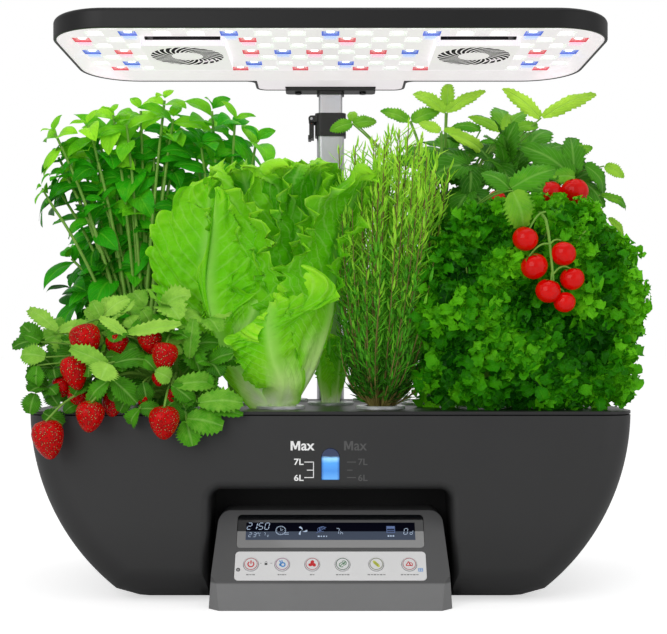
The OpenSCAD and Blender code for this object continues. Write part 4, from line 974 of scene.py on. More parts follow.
def makeDisplay():
    d = display
    panel = SlopeMarks(d["lift"])
    x0, x1, s0, s1 = d["lcd"]
    panel.patch([(x0, s0), (x1, s0), (x1, s1), (x0, s1)], 0.03)
    navy = Finish("lcdNavy", (0.004, 0.008, 0.03), specularIorLevel=0.04)
    height = navy.across("Z") * 1000
    # Painted reflection: the field is bluish grey below the same height as the glass's pale half
    glareMask = navy.fade(height, 51.9, 52.3)
    dots = navy.grain(0.5, 1)
    navy.feed(baseColor=navy.tones(glareMask, (0.075, 0.095, 0.14), (0.0005, 0.0008, 0.006)),
              roughness=dots * 0.08 + 0.4)
    panel.finish("lcdField", "display_glass", navy)

    pale = SlopeMarks(d["lift"] + 0.04)
    for digit in d["digits"]:
        pale.digit(*digit)
    for bar in d["bars"]:
        pale.bar(*bar)
    pale.ring(-53.0, 40.6, 0.45, 0.22, steps=12)
    x, y = d["clock"]
    pale.ring(x, y, d["clockRadius"], 0.34)
    for a in range(0, 360, 30):
        c, s = math.cos(rad(a)), math.sin(rad(a))
        pale.line(x + 2.7 * c, y + 2.7 * s, x + 3.2 * c, y + 3.2 * s, 0.22)
    pale.line(x, y, x, y + 2.2, 0.3)
    pale.line(x, y, x + 1.6, y + 0.7, 0.3)
    for i in range(3):
        pale.blade(*d["fan"], rad(120 * i + 60), 0.34)
    pale.finish("lcdDigits", "display_glass", printedMark("digitPale", (0.42, 0.52, 0.68), 0.25, 0.3))

    dim = SlopeMarks(d["lift"] + 0.04)
    for x, y, start in d["swirls"]:
        dim.ring(x, y, 2.1, 0.3, start, 250, 26)
    for stroke in d["strokes"]:
        dim.line(*stroke)
    for bar in d["calendar"]:
        dim.bar(*bar)
    dim.finish("lcdSymbols", "display_glass", printedMark("symbolDim", (0.10, 0.16, 0.36), 0.2, 0.3))


buttonShape = dict(xs=(-57.2, -34.7, -13.1, 8.7, 32.9, 56.6), up=14.87, radius=5.3, top=1.0,
                   names=("power", "water", "fan", "vegetable", "flower", "fruit"),
                   rings=((0.45, 0.03, 0.06), (0.35, 0.1, 0.25), (0.45, 0.05, 0.08), (0.02, 0.09, 0.04),
                          (0.16, 0.18, 0.06), (0.42, 0.05, 0.08)))
inks = dict(red=printedMark("inkRed", (0.62, 0.012, 0.02), 0.05),
            blue=printedMark("inkBlue", (0.05, 0.28, 0.68), 0.05),
            green=printedMark("inkGreen", (0.06, 0.24, 0.09)),
            lime=printedMark("inkLime", (0.62, 0.66, 0.1), 0.05),
            dark=printedMark("inkDark", (0.02, 0.02, 0.02)),
            grey=printedMark("inkGrey", (0.2, 0.2, 0.2)))


# The strokes of every symbol, around the middle of its button
icons = dict(
    power=("red", (("ring", 0, -0.2, 2.1, 0.85, 125, 290), ("line", 0, 2.7, 0, 0.1, 0.85))),
    water=("blue", (("ring", 0.5, -0.6, 1.5, 0.9), ("line", -2.0, 2.6, -0.6, 0.4, 0.8),
                    ("line", -0.4, 2.9, 0.2, 0.9, 0.8), ("blob", -1.5, -0.6, 0.7, 1.1))),
    fan=("red", [("blob", 1.5 * math.cos(rad(a + 30)), 1.5 * math.sin(rad(a + 30)), 1.5, 1.25, rad(a))
                 for a in (60, 180, 300)]),
    vegetable=("green", (("ring", -0.7, -0.8, 1.7, 0.5, 60, 250), ("ring", 0.9, 0.7, 1.7, 0.5, -110, 250),
                         ("line", -2.2, -2.0, 2.2, 1.8, 0.5), ("blob", 0.9, 0.5, 1.0, 0.6, 0.6))),
    flower=("lime", [("blob", x, -x, 1.1, 2.0, rad(40)) for x in (-1, 0, 1)]),
    fruit=("red", (("line", -2.4, -1.3, -0.4, 1.9, 0.6), ("line", -0.4, 1.9, 1.0, -1.3, 0.6),
                   ("line", -2.4, -1.4, 2.4, -1.4, 0.6), ("ring", 1.1, -0.3, 1.2, 0.5, -60, 250))))


def makeButtons():
    b = buttonShape
    for name, x, tone in zip(b["names"], b["xs"], b["rings"]):
        node = "button_" + name
        soften(node, "cap_" + name, "button", 0.35, 3)
        ring = SlopeMarks(b["top"] + 0.01, x, b["up"])
        ring.ring(0, 0, b["radius"] - 0.75, 0.42, steps=48)
        ring.finish("ring_" + name, "button_white", printedMark("ring_" + name, tone), node)
        icon = SlopeMarks(b["top"] + 0.01, x, b["up"])
        ink, strokes = icons[name]
        for stroke in strokes:
            icon.draw(*stroke)
        icon.finish("symbol_" + name, "button_white", inks[ink], node)


# Small prints on the plate: a clock, a lock between two dashes, a calendar and plain bars
platePrints = dict(
    lift=0.21, clock=(-66.2, 10.6), lock=(-46.4, 15.2), dashes=(-50.2, -42.6), calendar=(64.6, 10.5),
    # under each button: how many bars, and their pitch
    bars=((3, 2.2), (4, 1.6), (2, 1.8), (5, 2.0), (6, 2.2), (6, 2.2)), barsUp=6.6)


def makePlatePrints():
    q = platePrints
    dark = SlopeMarks(q["lift"])
    dark.ring(*q["clock"], 1.1, 0.7, steps=24)
    dark.blob(*q["clock"], 0.4, 0.4)
    for x in q["dashes"]:
        dark.bar(x, 15.8, 1.3, 0.22)
    x, y = q["lock"]
    dark.bar(x, y, 1.9, 1.5)
    dark.ring(x, y + 1.1, 0.8, 0.26, 0, 180)
    dark.finish("platePrints", "plate_white", inks["dark"])
    bars = SlopeMarks(q["lift"])
    for x, (count, pitch) in zip(buttonShape["xs"], q["bars"]):
        for k in range(count):
            across = x + (k + 0.5 - count / 2) * pitch
            bars.bar(across, q["barsUp"], pitch * 0.78, 0.75 - 0.22 * (k % 2))
    bars.finish("plateBars", "plate_white", inks["grey"])
    blue = SlopeMarks(q["lift"], *q["calendar"])
    for off in (-1.1, 0, 1.1):
        blue.bar(0, off, 3.0, 0.36)
    for off in (-1.5, 0, 1.5):
        blue.bar(off, 0, 0.36, 2.5)
    blue.finish("plateCalendar", "plate_white", inks["blue"])


makeDisplay()
makeButtons()
makePlatePrints()
print("control unit made")


# Pump and pots

soften("pump_body", "pumpBody", "pump", 0.5, 2)
dress("pump_impeller", "impeller")
dress("riser_tube", "riser")
dress("net_cups net_cup_strawberry net_cup_lettuce net_cup_rosemary net_cup_baby_lettuce", "cup")

# Where the pots stand in X and Y: those that lift out, then the fixed ones
pods = dict(strawberry=(-115.5, -54), lettuce=(-38.5, -54), rosemary=(38.5, -54), baby_lettuce=(0, 6))
otherPots = ((115.5, -54), (-154, 6), (-77, 6), (77, 6), (-115.5, 66), (-38.5, 66), (38.5, 66), (115.5, 66))


# Height and radius up a plug of foam, in mm
spongeProfile = ((102, 8.9), (103, 9.6), (120, 11.2), (138, 12.3), (140.6, 12.2), (141.3, 11.6),
                 (141.5, 9.5))


# A plug of foam with a rounded top and an uneven skin
def spongePart(bm, x, y):
    part = bmesh.new()
    loft(part, [[(u, v, z) for u, v in arc(0, 0, r, 0, 360, 30)[:-1]] for z, r in spongeProfile])
    for v in part.verts:
        lump = noise.noise(Vector((v.co.x * 0.4 + x, v.co.y * 0.4 + y, v.co.z * 0.4))) * 0.22
        v.co.x *= 1 + lump * 0.05
        v.co.y *= 1 + lump * 0.05
        v.co.z += min(0, lump)
    join(bm, meshOf(part), Matrix.Translation((x, y, 0)))


def makeSponges(name, body, node, places):
    bm = bmesh.new()
    for x, y in places:
        spongePart(bm, x, y)
    piece = finishPiece(name, bm, body, "sponge_brown", [finishes["sponge"]], [node], 60, even=False)


for pod, place in pods.items():
    makeSponges("sponge" + pod.title().replace("_", ""), "pod_" + pod, "sponge_" + pod, [place])
makeSponges("spongesOther", "base", "grow_sponges", otherPots)
print("pots made")

# Tools for foliage

# Puts a thing made along +Y, with +Z up, at a point and direction
def aim(at, along, up, size):
    y = Vector(along).normalized()
    z = Vector(up) - y * y.dot(Vector(up))
    z = z.normalized() if z.length > 1e-4 else y.orthogonal().normalized()
    turn = Matrix((y.cross(z), y, z)).transposed().to_4x4()
    return Matrix.Translation(at) @ turn @ Matrix.Scale(size, 4)


# A leaf blade one unit long: a grid bent, folded, waved and toothed
def leafShape(halfWidth, columns, rows, fold, curl, tooth=0.0, waves=0.0, waveDepth=0.0, puff=0.0,
              stalk=0.0):
    bm = grid(columns, rows)
    for v in bm.verts:
        u, t = v.co.x * 2, v.co.y + 0.5
        w = halfWidth(t)
        edge = abs(u) > 0.99 and round(t * rows) % 2 == 1
        if edge:
            w *= 1 - tooth
            t -= tooth * 0.1
        z = fold * abs(u) * w + puff * w * (1 - u * u) * math.sin(3.14 * t)
        z += waveDepth * math.sin(waves * fullTurn * t + (1.2 if u > 0 else 0)) * u * u
        a = curl * t
        y = math.sin(a) / curl if abs(curl) > 0.01 else t
        drop = (1 - math.cos(a)) / curl if abs(curl) > 0.01 else 0
        v.co = (u * w, stalk + y + z * math.sin(a), z * math.cos(a) - drop)
    return meshOf(bm, "blade")


def spread(rng, low, high):
    return low + (high - low) * rng.random()


def tilt(aboutY, aboutX):
    return Matrix.Rotation(aboutY, 4, "Y") @ Matrix.Rotation(aboutX, 4, "X")


# A smooth path through a bent middle, as points
def bow(start, middle, end, steps):
    a, b, c = Vector(start), Vector(middle), Vector(end)
    return [(1 - t) ** 2 * a + 2 * t * (1 - t) * b + t * t * c
            for t in (i / steps for i in range(steps + 1))]


# A full turn, and the turn between neighbours that spreads points evenly over a ball, in radians
fullTurn, evenTurn = 6.283, 2.4

# Leaves bend back before they pass the room that the lamp and the shelf leave them, in mm
foliageRoom = ((-246, 246, 14), (-139, 200, 8), (2, 406.5, 9))


def easeIn(value, low, high, soft):
    if value > high - soft:
        return high - soft * math.exp(-(value - high + soft) / soft)
    if value < low + soft:
        return low + soft * math.exp(-(low + soft - value) / soft)
    return value


# The leaves and stems of one plant; each leaf carries its own tint
class Foliage:
    def __init__(self):
        self.bm, self.tints, self.stems = bmesh.new(), [], []
        self.bm.loops.layers.uv.new("UVMap")

    def add(self, shape, matrix, tint, material=0, used=False):
        part = shape if used else shape.copy()
        if material:
            part.polygons.foreach_set("material_index", [material] * len(part.polygons))
        part.transform(matrix)
        self.bm.from_mesh(part)
        self.tints += [tint] * len(part.vertices)
        bpy.data.meshes.remove(part)

    def stem(self, points, thick, thin):
        self.stems.append((points, thick, thin))

    def growStems(self, material, sides):
        curve = bpy.data.curves.new("stems", "CURVE")
        curve.dimensions, curve.bevel_depth, curve.bevel_resolution = "3D", 1, sides
        curve.resolution_u, curve.use_fill_caps = 2, True
        for points, thick, thin in self.stems:
            line = curve.splines.new("NURBS")
            line.points.add(len(points) - 1)
            line.order_u, line.use_endpoint_u = 3, True
            for i, p in enumerate(points):
                line.points[i].co = (*p, 1)
                line.points[i].radius = thick + (thin - thick) * i / (len(points) - 1)
        mesh = meshOfCurve(curve)
        mesh.materials.clear()
        self.add(mesh, Matrix(), 0.5, material, True)

    def finish(self, name, body, slot, looks, node, sides=1):
        if self.stems:
            self.growStems(1, sides)
        for v in self.bm.verts:
            v.co = [easeIn(c, *room) for c, room in zip(v.co, foliageRoom)]
        tints = self.tints
        piece = finishPiece(name, self.bm, body, slot, looks, [node] if node else [], 180, even=False)
        tone = piece.data.attributes.new("tint", "FLOAT", "POINT")
        tone.data.foreach_set("value", tints)
        return piece


# Leaf: green by tint and place, a paler midrib and slanting side veins; the leaf also glows a little,
# painted light
def makeLeaf(name, deep, mid, pale, vein, gloss, veins, slant, veinShare, patch=14, lift=0.05):
    leaf = Finish(name, mid, emissionStrength=lift, specularIorLevel=0.08)
    u, t, tint, broad = leaf.blade(patch)
    fine = leaf.grain(1.5, 2)
    body = leaf.ramp(tint * 0.8 + broad * 0.4 - 0.12 + fine * 0.06, (0.0, deep), (0.5, mid), (1.0, pale))
    rib = leaf.fade(u, 0.03, 0.13, 1.0, 0.0)
    wave = abs(leaf.fraction((t - u * (slant / 2)) * veins) - 0.5)
    side = leaf.fade(wave, 0.02, 0.12, 1.0, 0.0)
    lines = rib.calc("MAXIMUM", rib, side * 0.55)
    tone = leaf.tones(lines * veinShare, body, vein)
    leaf.feed(baseColor=tone, emissionColor=tone, roughness=broad * 0.16 + gloss - 0.08)
    return leaf.bump(lines * -1.0 + broad * 0.8 + fine * 0.15, 0.35)


# Stem: green, glowing a little as painted light
def makeStem(name, low, high):
    stem = Finish(name, low, emissionStrength=0.04, specularIorLevel=0.3)
    tint = stem.grain(9, 3)
    fine = stem.grain(0.8, 2)
    tone = stem.tones(tint, low, high)
    stem.feed(baseColor=tone, emissionColor=tone, roughness=fine * 0.2 + 0.4)
    return stem.bump(fine, 0.1)


# A blade's half width at a share of its length, rounded off at both ends
def swelling(t, foot, share, power, least=0.03):
    return max(least, math.sin(math.pi * min(1, foot + t * share)) ** power)


def oval(wide, peak):
    def width(t):
        s = t / peak * 0.5 if t < peak else 0.5 + (t - peak) / (1 - peak) * 0.5
        return wide * max(0.02, math.sin(math.pi * min(1, s)) ** 0.8)
    return width


# Single leaflets to the front, each on its own stem. A row says the foot, how far the tip lies from it
# in X and Z, the width and the tone
def growLeaflets(plant, rng, blades, leaflets, crown):
    for x, y, z, ahead, rise, wide, tone in leaflets:
        reach = math.hypot(ahead, rise)
        along = Vector((ahead, spread(rng, -0.15, 0.3) * reach, rise))
        turned = Vector((spread(rng, -0.25, 0.25), -1, spread(rng, 0.2, 0.6)))
        share = min(2.2, wide / reach / 0.86)
        blade = rng.choice(blades)
        matrix = aim((x, y, z), along, turned, reach / 1.02) @ Matrix.Diagonal((share, 1, 1, 1))
        plant.add(blade, matrix, tone + spread(rng, -0.05, 0.05))
        bend = crown.lerp(Vector((x, y, z)), 0.5) + Vector((0, -4, 26))
        plant.stem(bow(crown, bend, (x, y + 0.5, z), 8), 1.0, 0.6)


# A ring of sepals round a stalk: their size and count, the turn between them, how far they rise, their tones
def growSepals(plant, rng, sepal, top, size, count, turn, lift, low, high):
    for k in range(count):
        matrix = top @ Matrix.Rotation(turn * k, 4, "Z") @ Matrix.Rotation(lift, 4, "X")
        plant.add(sepal, matrix @ Matrix.Scale(size, 4), spread(rng, low, high))


stemGreen = makeStem("stemGreen", (0.10, 0.30, 0.03), (0.30, 0.55, 0.08))
print("foliage tools ready")


# Basil

basilShape = dict(
    # Leafy stem tips seen from the front: X, Z, length of the leaves and tone
    tips=((-138, 392, 27, 0.95), (-181, 380, 27, 0.85), (-99, 384, 34, 0.62), (-62, 358, 36, 0.6),
          (-228, 364, 29, 0.8), (-228, 346, 32, 0.3), (-204, 350, 40, 0.72), (-107, 355, 35, 0.32),
          (-147, 347, 35, 0.22), (-188, 307, 32, 0.5), (-147, 304, 33, 0.52), (-220, 330, 28, 0.5),
          (-240, 318, 30, 0.5), (-200, 293, 34, 0.32), (-217, 261, 38, 0.42), (-179, 267, 31, 0.22),
          (-196, 241, 31, 0.3), (-160, 246, 34, 0.18), (-169, 371, 31, 0.7), (-131, 377, 33, 0.75),
          (-79, 374, 33, 0.6), (-168, 330, 38, 0.28), (-129, 323, 35, 0.25), (-95, 342, 33, 0.4),
          (-153, 280, 33, 0.22), (-201, 371, 31, 0.8), (-147, 233, 33, 0.1), (-172, 227, 33, 0.08),
          (-201, 222, 27, 0.15), (-122, 304, 34, 0.22), (-182, 342, 35, 0.5), (-160, 386, 29, 0.9)),
    depth=(14, 40), clumps=(((-140, 46, 352), (78, 20, 30), 12), ((-200, 40, 330), (36, 18, 46), 7),
                            ((-166, 42, 285), (44, 20, 40), 9), ((-180, 34, 238), (44, 18, 28), 8)),
    pots=((-77, 6), (-154, 6)), leaf=(30, 44), seed=7)


# Crossed pairs of leaves at a stem's tip
def basilTip(plant, rng, blades, tip, way, size, light):
    b = basilShape
    potX, potY = b["pots"][0 if tip.x > -118 else 1]
    foot = Vector((potX + spread(rng, -4, 4), potY + spread(rng, -4, 4), 141.9))
    bend = foot.lerp(tip, 0.5) + Vector((-way.x * 10, -way.y * 6, 26))
    plant.stem(bow(foot, bend, tip, 8), 1.7, 1.1)
    axis = Vector((way.x * 0.7, way.y * 0.5 - 0.2, 0.9)).normalized()
    side = axis.orthogonal()
    start = spread(rng, 0, 3.14)
    for level, (drop, lift, share) in enumerate(((13, -0.05, 1.0), (4, 0.35, 0.9), (-2, 1.0, 0.55))):
        for s in (0, math.pi):
            out = Matrix.Rotation(start + s + level * 1.57 + spread(rng, -0.3, 0.3), 3, axis) @ side
            along = out + axis * (lift + spread(rng, -0.2, 0.4))
            turned = axis + out * -0.2 + Vector((0, -0.45, 0))
            blade = rng.choice(blades)
            matrix = aim(tip - axis * drop, along, turned, spread(rng, 0.85, 1.15) * size * share)
            plant.add(blade, matrix, light + spread(rng, -0.2, 0.3))


def makeBasil():
    b = basilShape
    rng = random.Random(b["seed"])
    plant = Foliage()
    blades = [leafShape(oval(wide, 0.4), 6, 9, fold, curl, 0.0, 1.5, 0.02, 0.3)
              for wide, fold, curl in ((0.27, 0.35, 0.5), (0.3, 0.5, 1.0), (0.25, 0.2, 0.8),
                                       (0.29, 0.6, 0.2))]
    for x, z, size, tone in b["tips"]:
        tip = Vector((x, spread(rng, *b["depth"]), z))
        way = Vector(((x + 150) / 90, -0.4, (z - 300) / 90)).normalized()
        basilTip(plant, rng, blades, tip, way, size, tone)
    for middle, reach, count in b["clumps"]:
        for i in range(count):
            high = 1 - 2 * (i + 0.5) / count
            flat, turn = math.sqrt(1 - high * high), evenTurn * i + spread(rng, -0.3, 0.3)
            way = Vector((flat * math.cos(turn), flat * math.sin(turn), high))
            tip = Vector(c + r * w * spread(rng, 0.62, 0.9) for c, r, w in zip(middle, reach, way))
            # Painted light: higher tips, and those turned up, get a paler tint
            light = 0.05 + 0.4 * (tip.z - 210) / 180 + 0.2 * max(0, high)
            basilTip(plant, rng, blades, tip, way, spread(rng, *b["leaf"]), light)
    plant.finish("basilPlant", "base", "basil_leaf",
                 [makeLeaf("basilLeaf", (0.0008, 0.045, 0.0008), (0.03, 0.4, 0.006), (0.4, 0.94, 0.03),
                           (0.2, 0.7, 0.03), 0.3, 6, 0.9, 0.3, lift=0.1), stemGreen], "basil")


# Strawberry

# Behind the leaflets lie leaves of three, by where their leaflets meet and their size
strawberryShape = dict(
    leaflets=(
        (-104, -112, 135, 5, -19, 21, 0.45), (-104, -112, 136, 27, -4, 24, 0.52),
        (-103, -108, 133, -4, 15, 18, 0.2), (-158, -120, 175, -29, 11, 15, 0.78),
        (-158, -118, 175, 31, 6, 17, 0.2), (-158, -123, 176, -5, -12, 30, 0.95),
        (-147, -106, 195, -22, 13, 10, 1.05), (-147, -106, 197, 41, 6, 12, 1.1),
        (-167, -96, 210, 18, 16, 16, 1.05), (-168, -98, 209, -7, 12, 13, 0.75),
        (-199, -100, 199, -25, 19, 14, 0.85), (-199, -99, 198, 19, 8, 12, 0.9),
        (-212, -97, 191, -12, 6, 10, 0.35), (-207, -103, 180, -19, 3, 19, 0.72),
        (-213, -105, 174, 0, -16, 16, 0.35), (-214, -107, 154, -4, -15, 17, 0.3),
        (-197, -106, 145, -9, 11, 15, 0.15), (-207, -111, 140, 15, -8, 16, 0.12),
        (-158, -117, 164, -17, -15, 16, 0.42), (-157, -116, 165, 17, -19, 20, 0.25),
        (-135, -112, 162, 3, -15, 15, 0.1), (-137, -116, 143, -11, -14, 13, 0.38),
        (-138, -114, 143, 16, -0, 14, 0.3), (-113, -112, 160, 31, 4, 16, 0.68),
        (-114, -115, 160, 17, -13, 16, 0.3), (-96, -111, 147, 33, 3, 21, 0.58),
        (-93, -109, 142, 30, -2, 10, 0.5), (-103, -100, 179, 3, 29, 15, 0.62),
        (-125, -120, 170, 12, -5, 15, 0.85), (-126, -114, 171, -9, 10, 13, 0.3),
        (-106, -98, 192, -19, 2, 12, 0.9), (-167, -99, 189, -20, 19, 17, 0.78),
        (-129, -98, 187, 8, 12, 14, 0.5), (-108, -100, 183, -10, 4, 10, 0.7),
        (-185, -98, 163, -8, 7, 12, 0.3), (-205, -97, 170, 13, -8, 10, 0.6),
        (-87, -104, 156, -8, 13, 14, 0.55), (-120, -106, 143, 12, 8, 15, 0.22),
        (-147, -108, 151, -6, -11, 14, 0.15), (-175, -108, 146, 8, 6, 12, 0.2),
        (-193, -106, 140, 8, 7, 12, 0.15), (-81, -104, 145, -4, 14, 15, 0.4),
        (-143, -97, 201, -6, 10, 15, 0.9), (-131, -96, 204, -7, 10, 12, 0.7),
        (-151, -104, 183, 11, 4, 12, 0.3)),
    leaves=(
        (-153, -78, 214, 24), (-171, -70, 204, 22), (-215, -80, 190, 23), (-204, -92, 172, 19),
        (-207, -98, 158, 19), (-125, -80, 216, 30), (-96, -76, 210, 24), (-142, -60, 218, 24),
        (-112, -50, 206, 26), (-180, -56, 196, 26), (-170, -30, 208, 24), (-130, -24, 200, 28),
        (-92, -40, 190, 25), (-198, -60, 178, 24), (-80, -66, 178, 24), (-150, -90, 200, 24),
        (-185, -84, 182, 22), (-118, -92, 196, 23), (-170, -98, 180, 22), (-148, -98, 176, 22),
        (-160, -80, 190, 24), (-140, -76, 186, 24), (-176, -90, 162, 22), (-200, -76, 196, 22),
        (-106, -84, 186, 24), (-90, -90, 176, 22), (-150, -96, 160, 22), (-168, -86, 152, 22),
        (-134, -88, 156, 22), (-112, -94, 150, 22), (-98, -96, 150, 22), (-190, -80, 168, 22)),
    berries=(  # middle, size and length
        (-180, -105, 191, 0.97, 1.0), (-187, -111, 168, 0.82, 1.2), (-197, -98, 158, 0.59, 1),
        (-184, -97, 151, 0.67, 1), (-158, -99, 145, 0.70, 1), (-170, -123, 137, 0.87, 1),
        (-202, -124, 121, 0.97, 1.12), (-118, -124, 133, 0.93, 1), (-156, -101, 188, 0.73, 1),
        (-133, -101, 191, 0.76, 1), (-118, -113, 180, 0.81, 1), (-135, -107, 150, 0.44, 1),
        (-125, -107, 164, 0.41, 1), (-114, -107, 152, 0.39, 1)),
    fill=18, seed=3)


def berryShape():
    bm = bmesh.new()
    profile = [(0.01, 0.0), (4.0, 0.9), (8.0, -0.2), (10.7, -3.0), (11.8, -6.6), (11.5, -10.4),
               (10.2, -14.4), (8.3, -18.2), (5.8, -21.6), (3.0, -24.0), (0.01, -25.0)]
    verts = [bm.verts.new((x, 0, z)) for x, z in profile]
    edges = [bm.edges.new(pair) for pair in zip(verts, verts[1:])]
    bmesh.ops.spin(bm, geom=verts + edges, cent=(0, 0, 0), axis=(0, 0, 1), angle=2 * math.pi, steps=20,
                   use_merge=True)
    bmesh.ops.remove_doubles(bm, verts=bm.verts, dist=0.05)
    outward(bm)
    return meshOf(bm, "berry")


# Red flesh with a pit and a yellow seed in every cell; each pit is darker round its seed, painted shade
def makeBerry():
    berry = Finish("berryRed", (0.5, 0.01, 0.012), coatWeight=0.16, coatRoughness=0.06,
                   specularIorLevel=0.06)
    cell = berry.cells(1.35, berry.place((1, 1, 0.7)))
    pitAndShade = berry.fade(cell, 0.16, 0.5)
    seed = berry.fade(cell, 0.14, 0.24, 1.0, 0.0)
    broad = berry.grain(8, 2)
    flesh = berry.tones(broad, (0.36, 0.0004, 0.0006), (0.85, 0.003, 0.002))
    flesh = berry.tones(pitAndShade, (0.24, 0.0008, 0.001), flesh)
    tone = berry.tones(seed, flesh, (0.9, 0.5, 0.2))
    berry.feed(baseColor=tone, roughness=broad * 0.1 + 0.2)
    return berry.bump(pitAndShade, 0.6)


def makeStrawberry():
    s = strawberryShape
    rng = random.Random(s["seed"])
    plant = Foliage()

    def rounded(t):
        return 0.46 * swelling(t, 0.08, 0.86, 0.62) * (0.72 + 0.5 * t * (1.4 - t))
    blades = [leafShape(rounded, 8, 18, fold, curl, 0.25, 2, 0.03, 0.22, 0.02)
              for fold, curl in ((0.3, 0.5), (0.5, 0.8), (0.2, 0.3), (0.4, -0.2))]
    crown = Vector((*pods["strawberry"], 142))
    growLeaflets(plant, rng, blades, s["leaflets"], crown)
    fill = [(spread(rng, -200, -88), spread(rng, -76, -44), spread(rng, 150, 192), 24)
            for _ in range(s["fill"])]
    for x, y, z, size in (*s["leaves"], *fill):
        at = Vector((x, y, z))
        middle = crown.lerp(at, 0.45) + Vector((0, 0, 30))
        foot = crown + Vector((spread(rng, -5, 5), spread(rng, -4, 4), 0))
        plant.stem(bow(foot, middle, at, 8), 1.1, 0.7)
        out = Vector((x + 140, (y + 60) * 1.4, 0)).normalized()
        up = Vector((0, -0.75, 0.7)) + out * 0.25 + Vector((spread(rng, -0.4, 0.4), 0, 0))
        lead = out + Vector((spread(rng, -0.5, 0.5), -0.35, spread(rng, -0.5, 0.15)))
        for k, share in ((0, 1.0), (1.25, 0.88), (-1.25, 0.88)):
            along = Matrix.Rotation(k, 3, up) @ lead
            # Painted light: leaves high at the back, and all leaves the higher they stand, get a paler tint
            tint = (0.62 if y > -84 and z > 194 else 0.12) + (z - 150) / 400 + spread(rng, -0.12, 0.2)
            plant.add(rng.choice(blades), aim(at, along, up, size * share * spread(rng, 0.9, 1.1)), tint)
    sepal = leafShape(oval(0.16, 0.35), 2, 4, 0.2, 1.4)
    berry = berryShape()
    for x, y, z, size, long in s["berries"]:
        lean = tilt(spread(rng, -0.25, 0.25), spread(rng, -0.1, 0.3))
        turn = Matrix.Rotation(rng.random() * 6, 4, "Z")
        top = Matrix.Translation((x, y, z + 12 * size * long)) @ lean @ turn
        plant.add(berry, top @ Matrix.Diagonal((size, size, size * long, 1)), 0.5, 2)
        growSepals(plant, rng, sepal, top, 10 * size, 9, 0.698, 0.35, 0.4, 0.8)
        middle = Vector((x * 0.7 - 34, y * 0.6 - 22, max(z + 34, 178)))
        plant.stem(bow(crown, middle, top @ Vector((0, 0, 0.6)), 8), 0.9, 0.8)
    plant.finish("strawberryPlant", "pod_strawberry", "strawberry_leaf",
                 [makeLeaf("strawberryLeaf", (0.003, 0.06, 0.001), (0.08, 0.36, 0.01), (0.42, 0.78, 0.1),
                           (0.46, 0.78, 0.2), 0.36, 8, 1.1, 0.26, 6),
                  stemGreen, makeBerry()], "strawberry_plant")


# Lettuce

lettuceShape = dict(
    # Front leaves: the line of the rib, the way the blade looks, its two half widths, how much higher its
    # right side ends, where it starts to round off, and its wrap, foot, frill and tint, which sets its
    # painted shade
    front=((((-44, -58, 142), (-62, -64, 160), (-84, -74, 190), (-92, -82, 228), (-88, -84, 268),
             (-85, -78, 306)), (0.05, -1, 0.1), (5, 50), 0.0, 0.66, 60, 13, 7, 0.15),
           (((-48, -52, 142), (-66, -56, 172), (-86, -62, 204), (-94, -68, 240), (-92, -68, 280),
             (-90, -62, 312)), (-0.2, -1, 0.1), (47, 16), 0.0, 0.66, 90, 10, 8, 0.0),
           (((-40, -62, 142), (-36, -78, 158), (-43, -87, 178), (-46, -90, 198), (-46, -92, 208),
             (-44, -92, 220)), (0.12, -1, 0.08), (28, 57), 0.36, 0.84, 44, 16, 4, 0.0),
           (((-40, -58, 142), (-66, -68, 182), (-58, -76, 214), (-41, -74, 247), (-29, -68, 280),
             (-24, -58, 320)), (0.15, -1, 0.0), (22, 60), 0.0, 0.66, 38, 13, 7, 0.7)),
    whorl=(  # bearing from the front, height, swell, flare, half width and wrap radius
        (66, 184, 40, 34, 50, 44), (112, 188, 42, 26, 54, 46), (-118, 186, 40, 30, 56, 50),
        (165, 192, 40, 20, 58, 50), (-160, 192, 38, 22, 56, 50), (22, 190, 24, 14, 48, 30),
        (-36, 188, 22, 22, 48, 32), (60, 192, 24, 18, 48, 32), (-80, 190, 24, 26, 48, 34),
        (100, 194, 20, 14, 44, 30), (-10, 182, 12, 10, 38, 22), (140, 192, 14, 10, 38, 24)),
    small=((-45, 50, 10, 12), (35, 54, 9, 13), (95, 48, 10, 12), (-105, 50, 9, 13),
           (170, 52, 7, 10), (-5, 58, 5, 8), (65, 60, 6, 10), (-75, 58, 6, 10)),
    room=(-95.5, 204),  # the leaves keep right of this line below this height, where the next pod lifts out
    seed=5)


# A point on a smooth line through the given points, and the way the line runs there
def pathPoint(points, t):
    spot = min(max(t, 0), 0.9999) * (len(points) - 1)
    i, f = int(spot), spot - int(spot)
    a, b = points[max(0, i - 1)], points[i]
    c, d = points[i + 1], points[min(len(points) - 1, i + 2)]
    at = b + (c - a) * (f / 2) + (a - 2.5 * b + 2 * c - d / 2) * f * f \
        + (1.5 * b - a / 2 - 1.5 * c + d / 2) * f ** 3
    way = (c - a) / 2 + (2 * a - 5 * b + 4 * c - d) * f + (4.5 * b - 1.5 * a - 4.5 * c + 1.5 * d) * f * f
    return at, way.normalized()


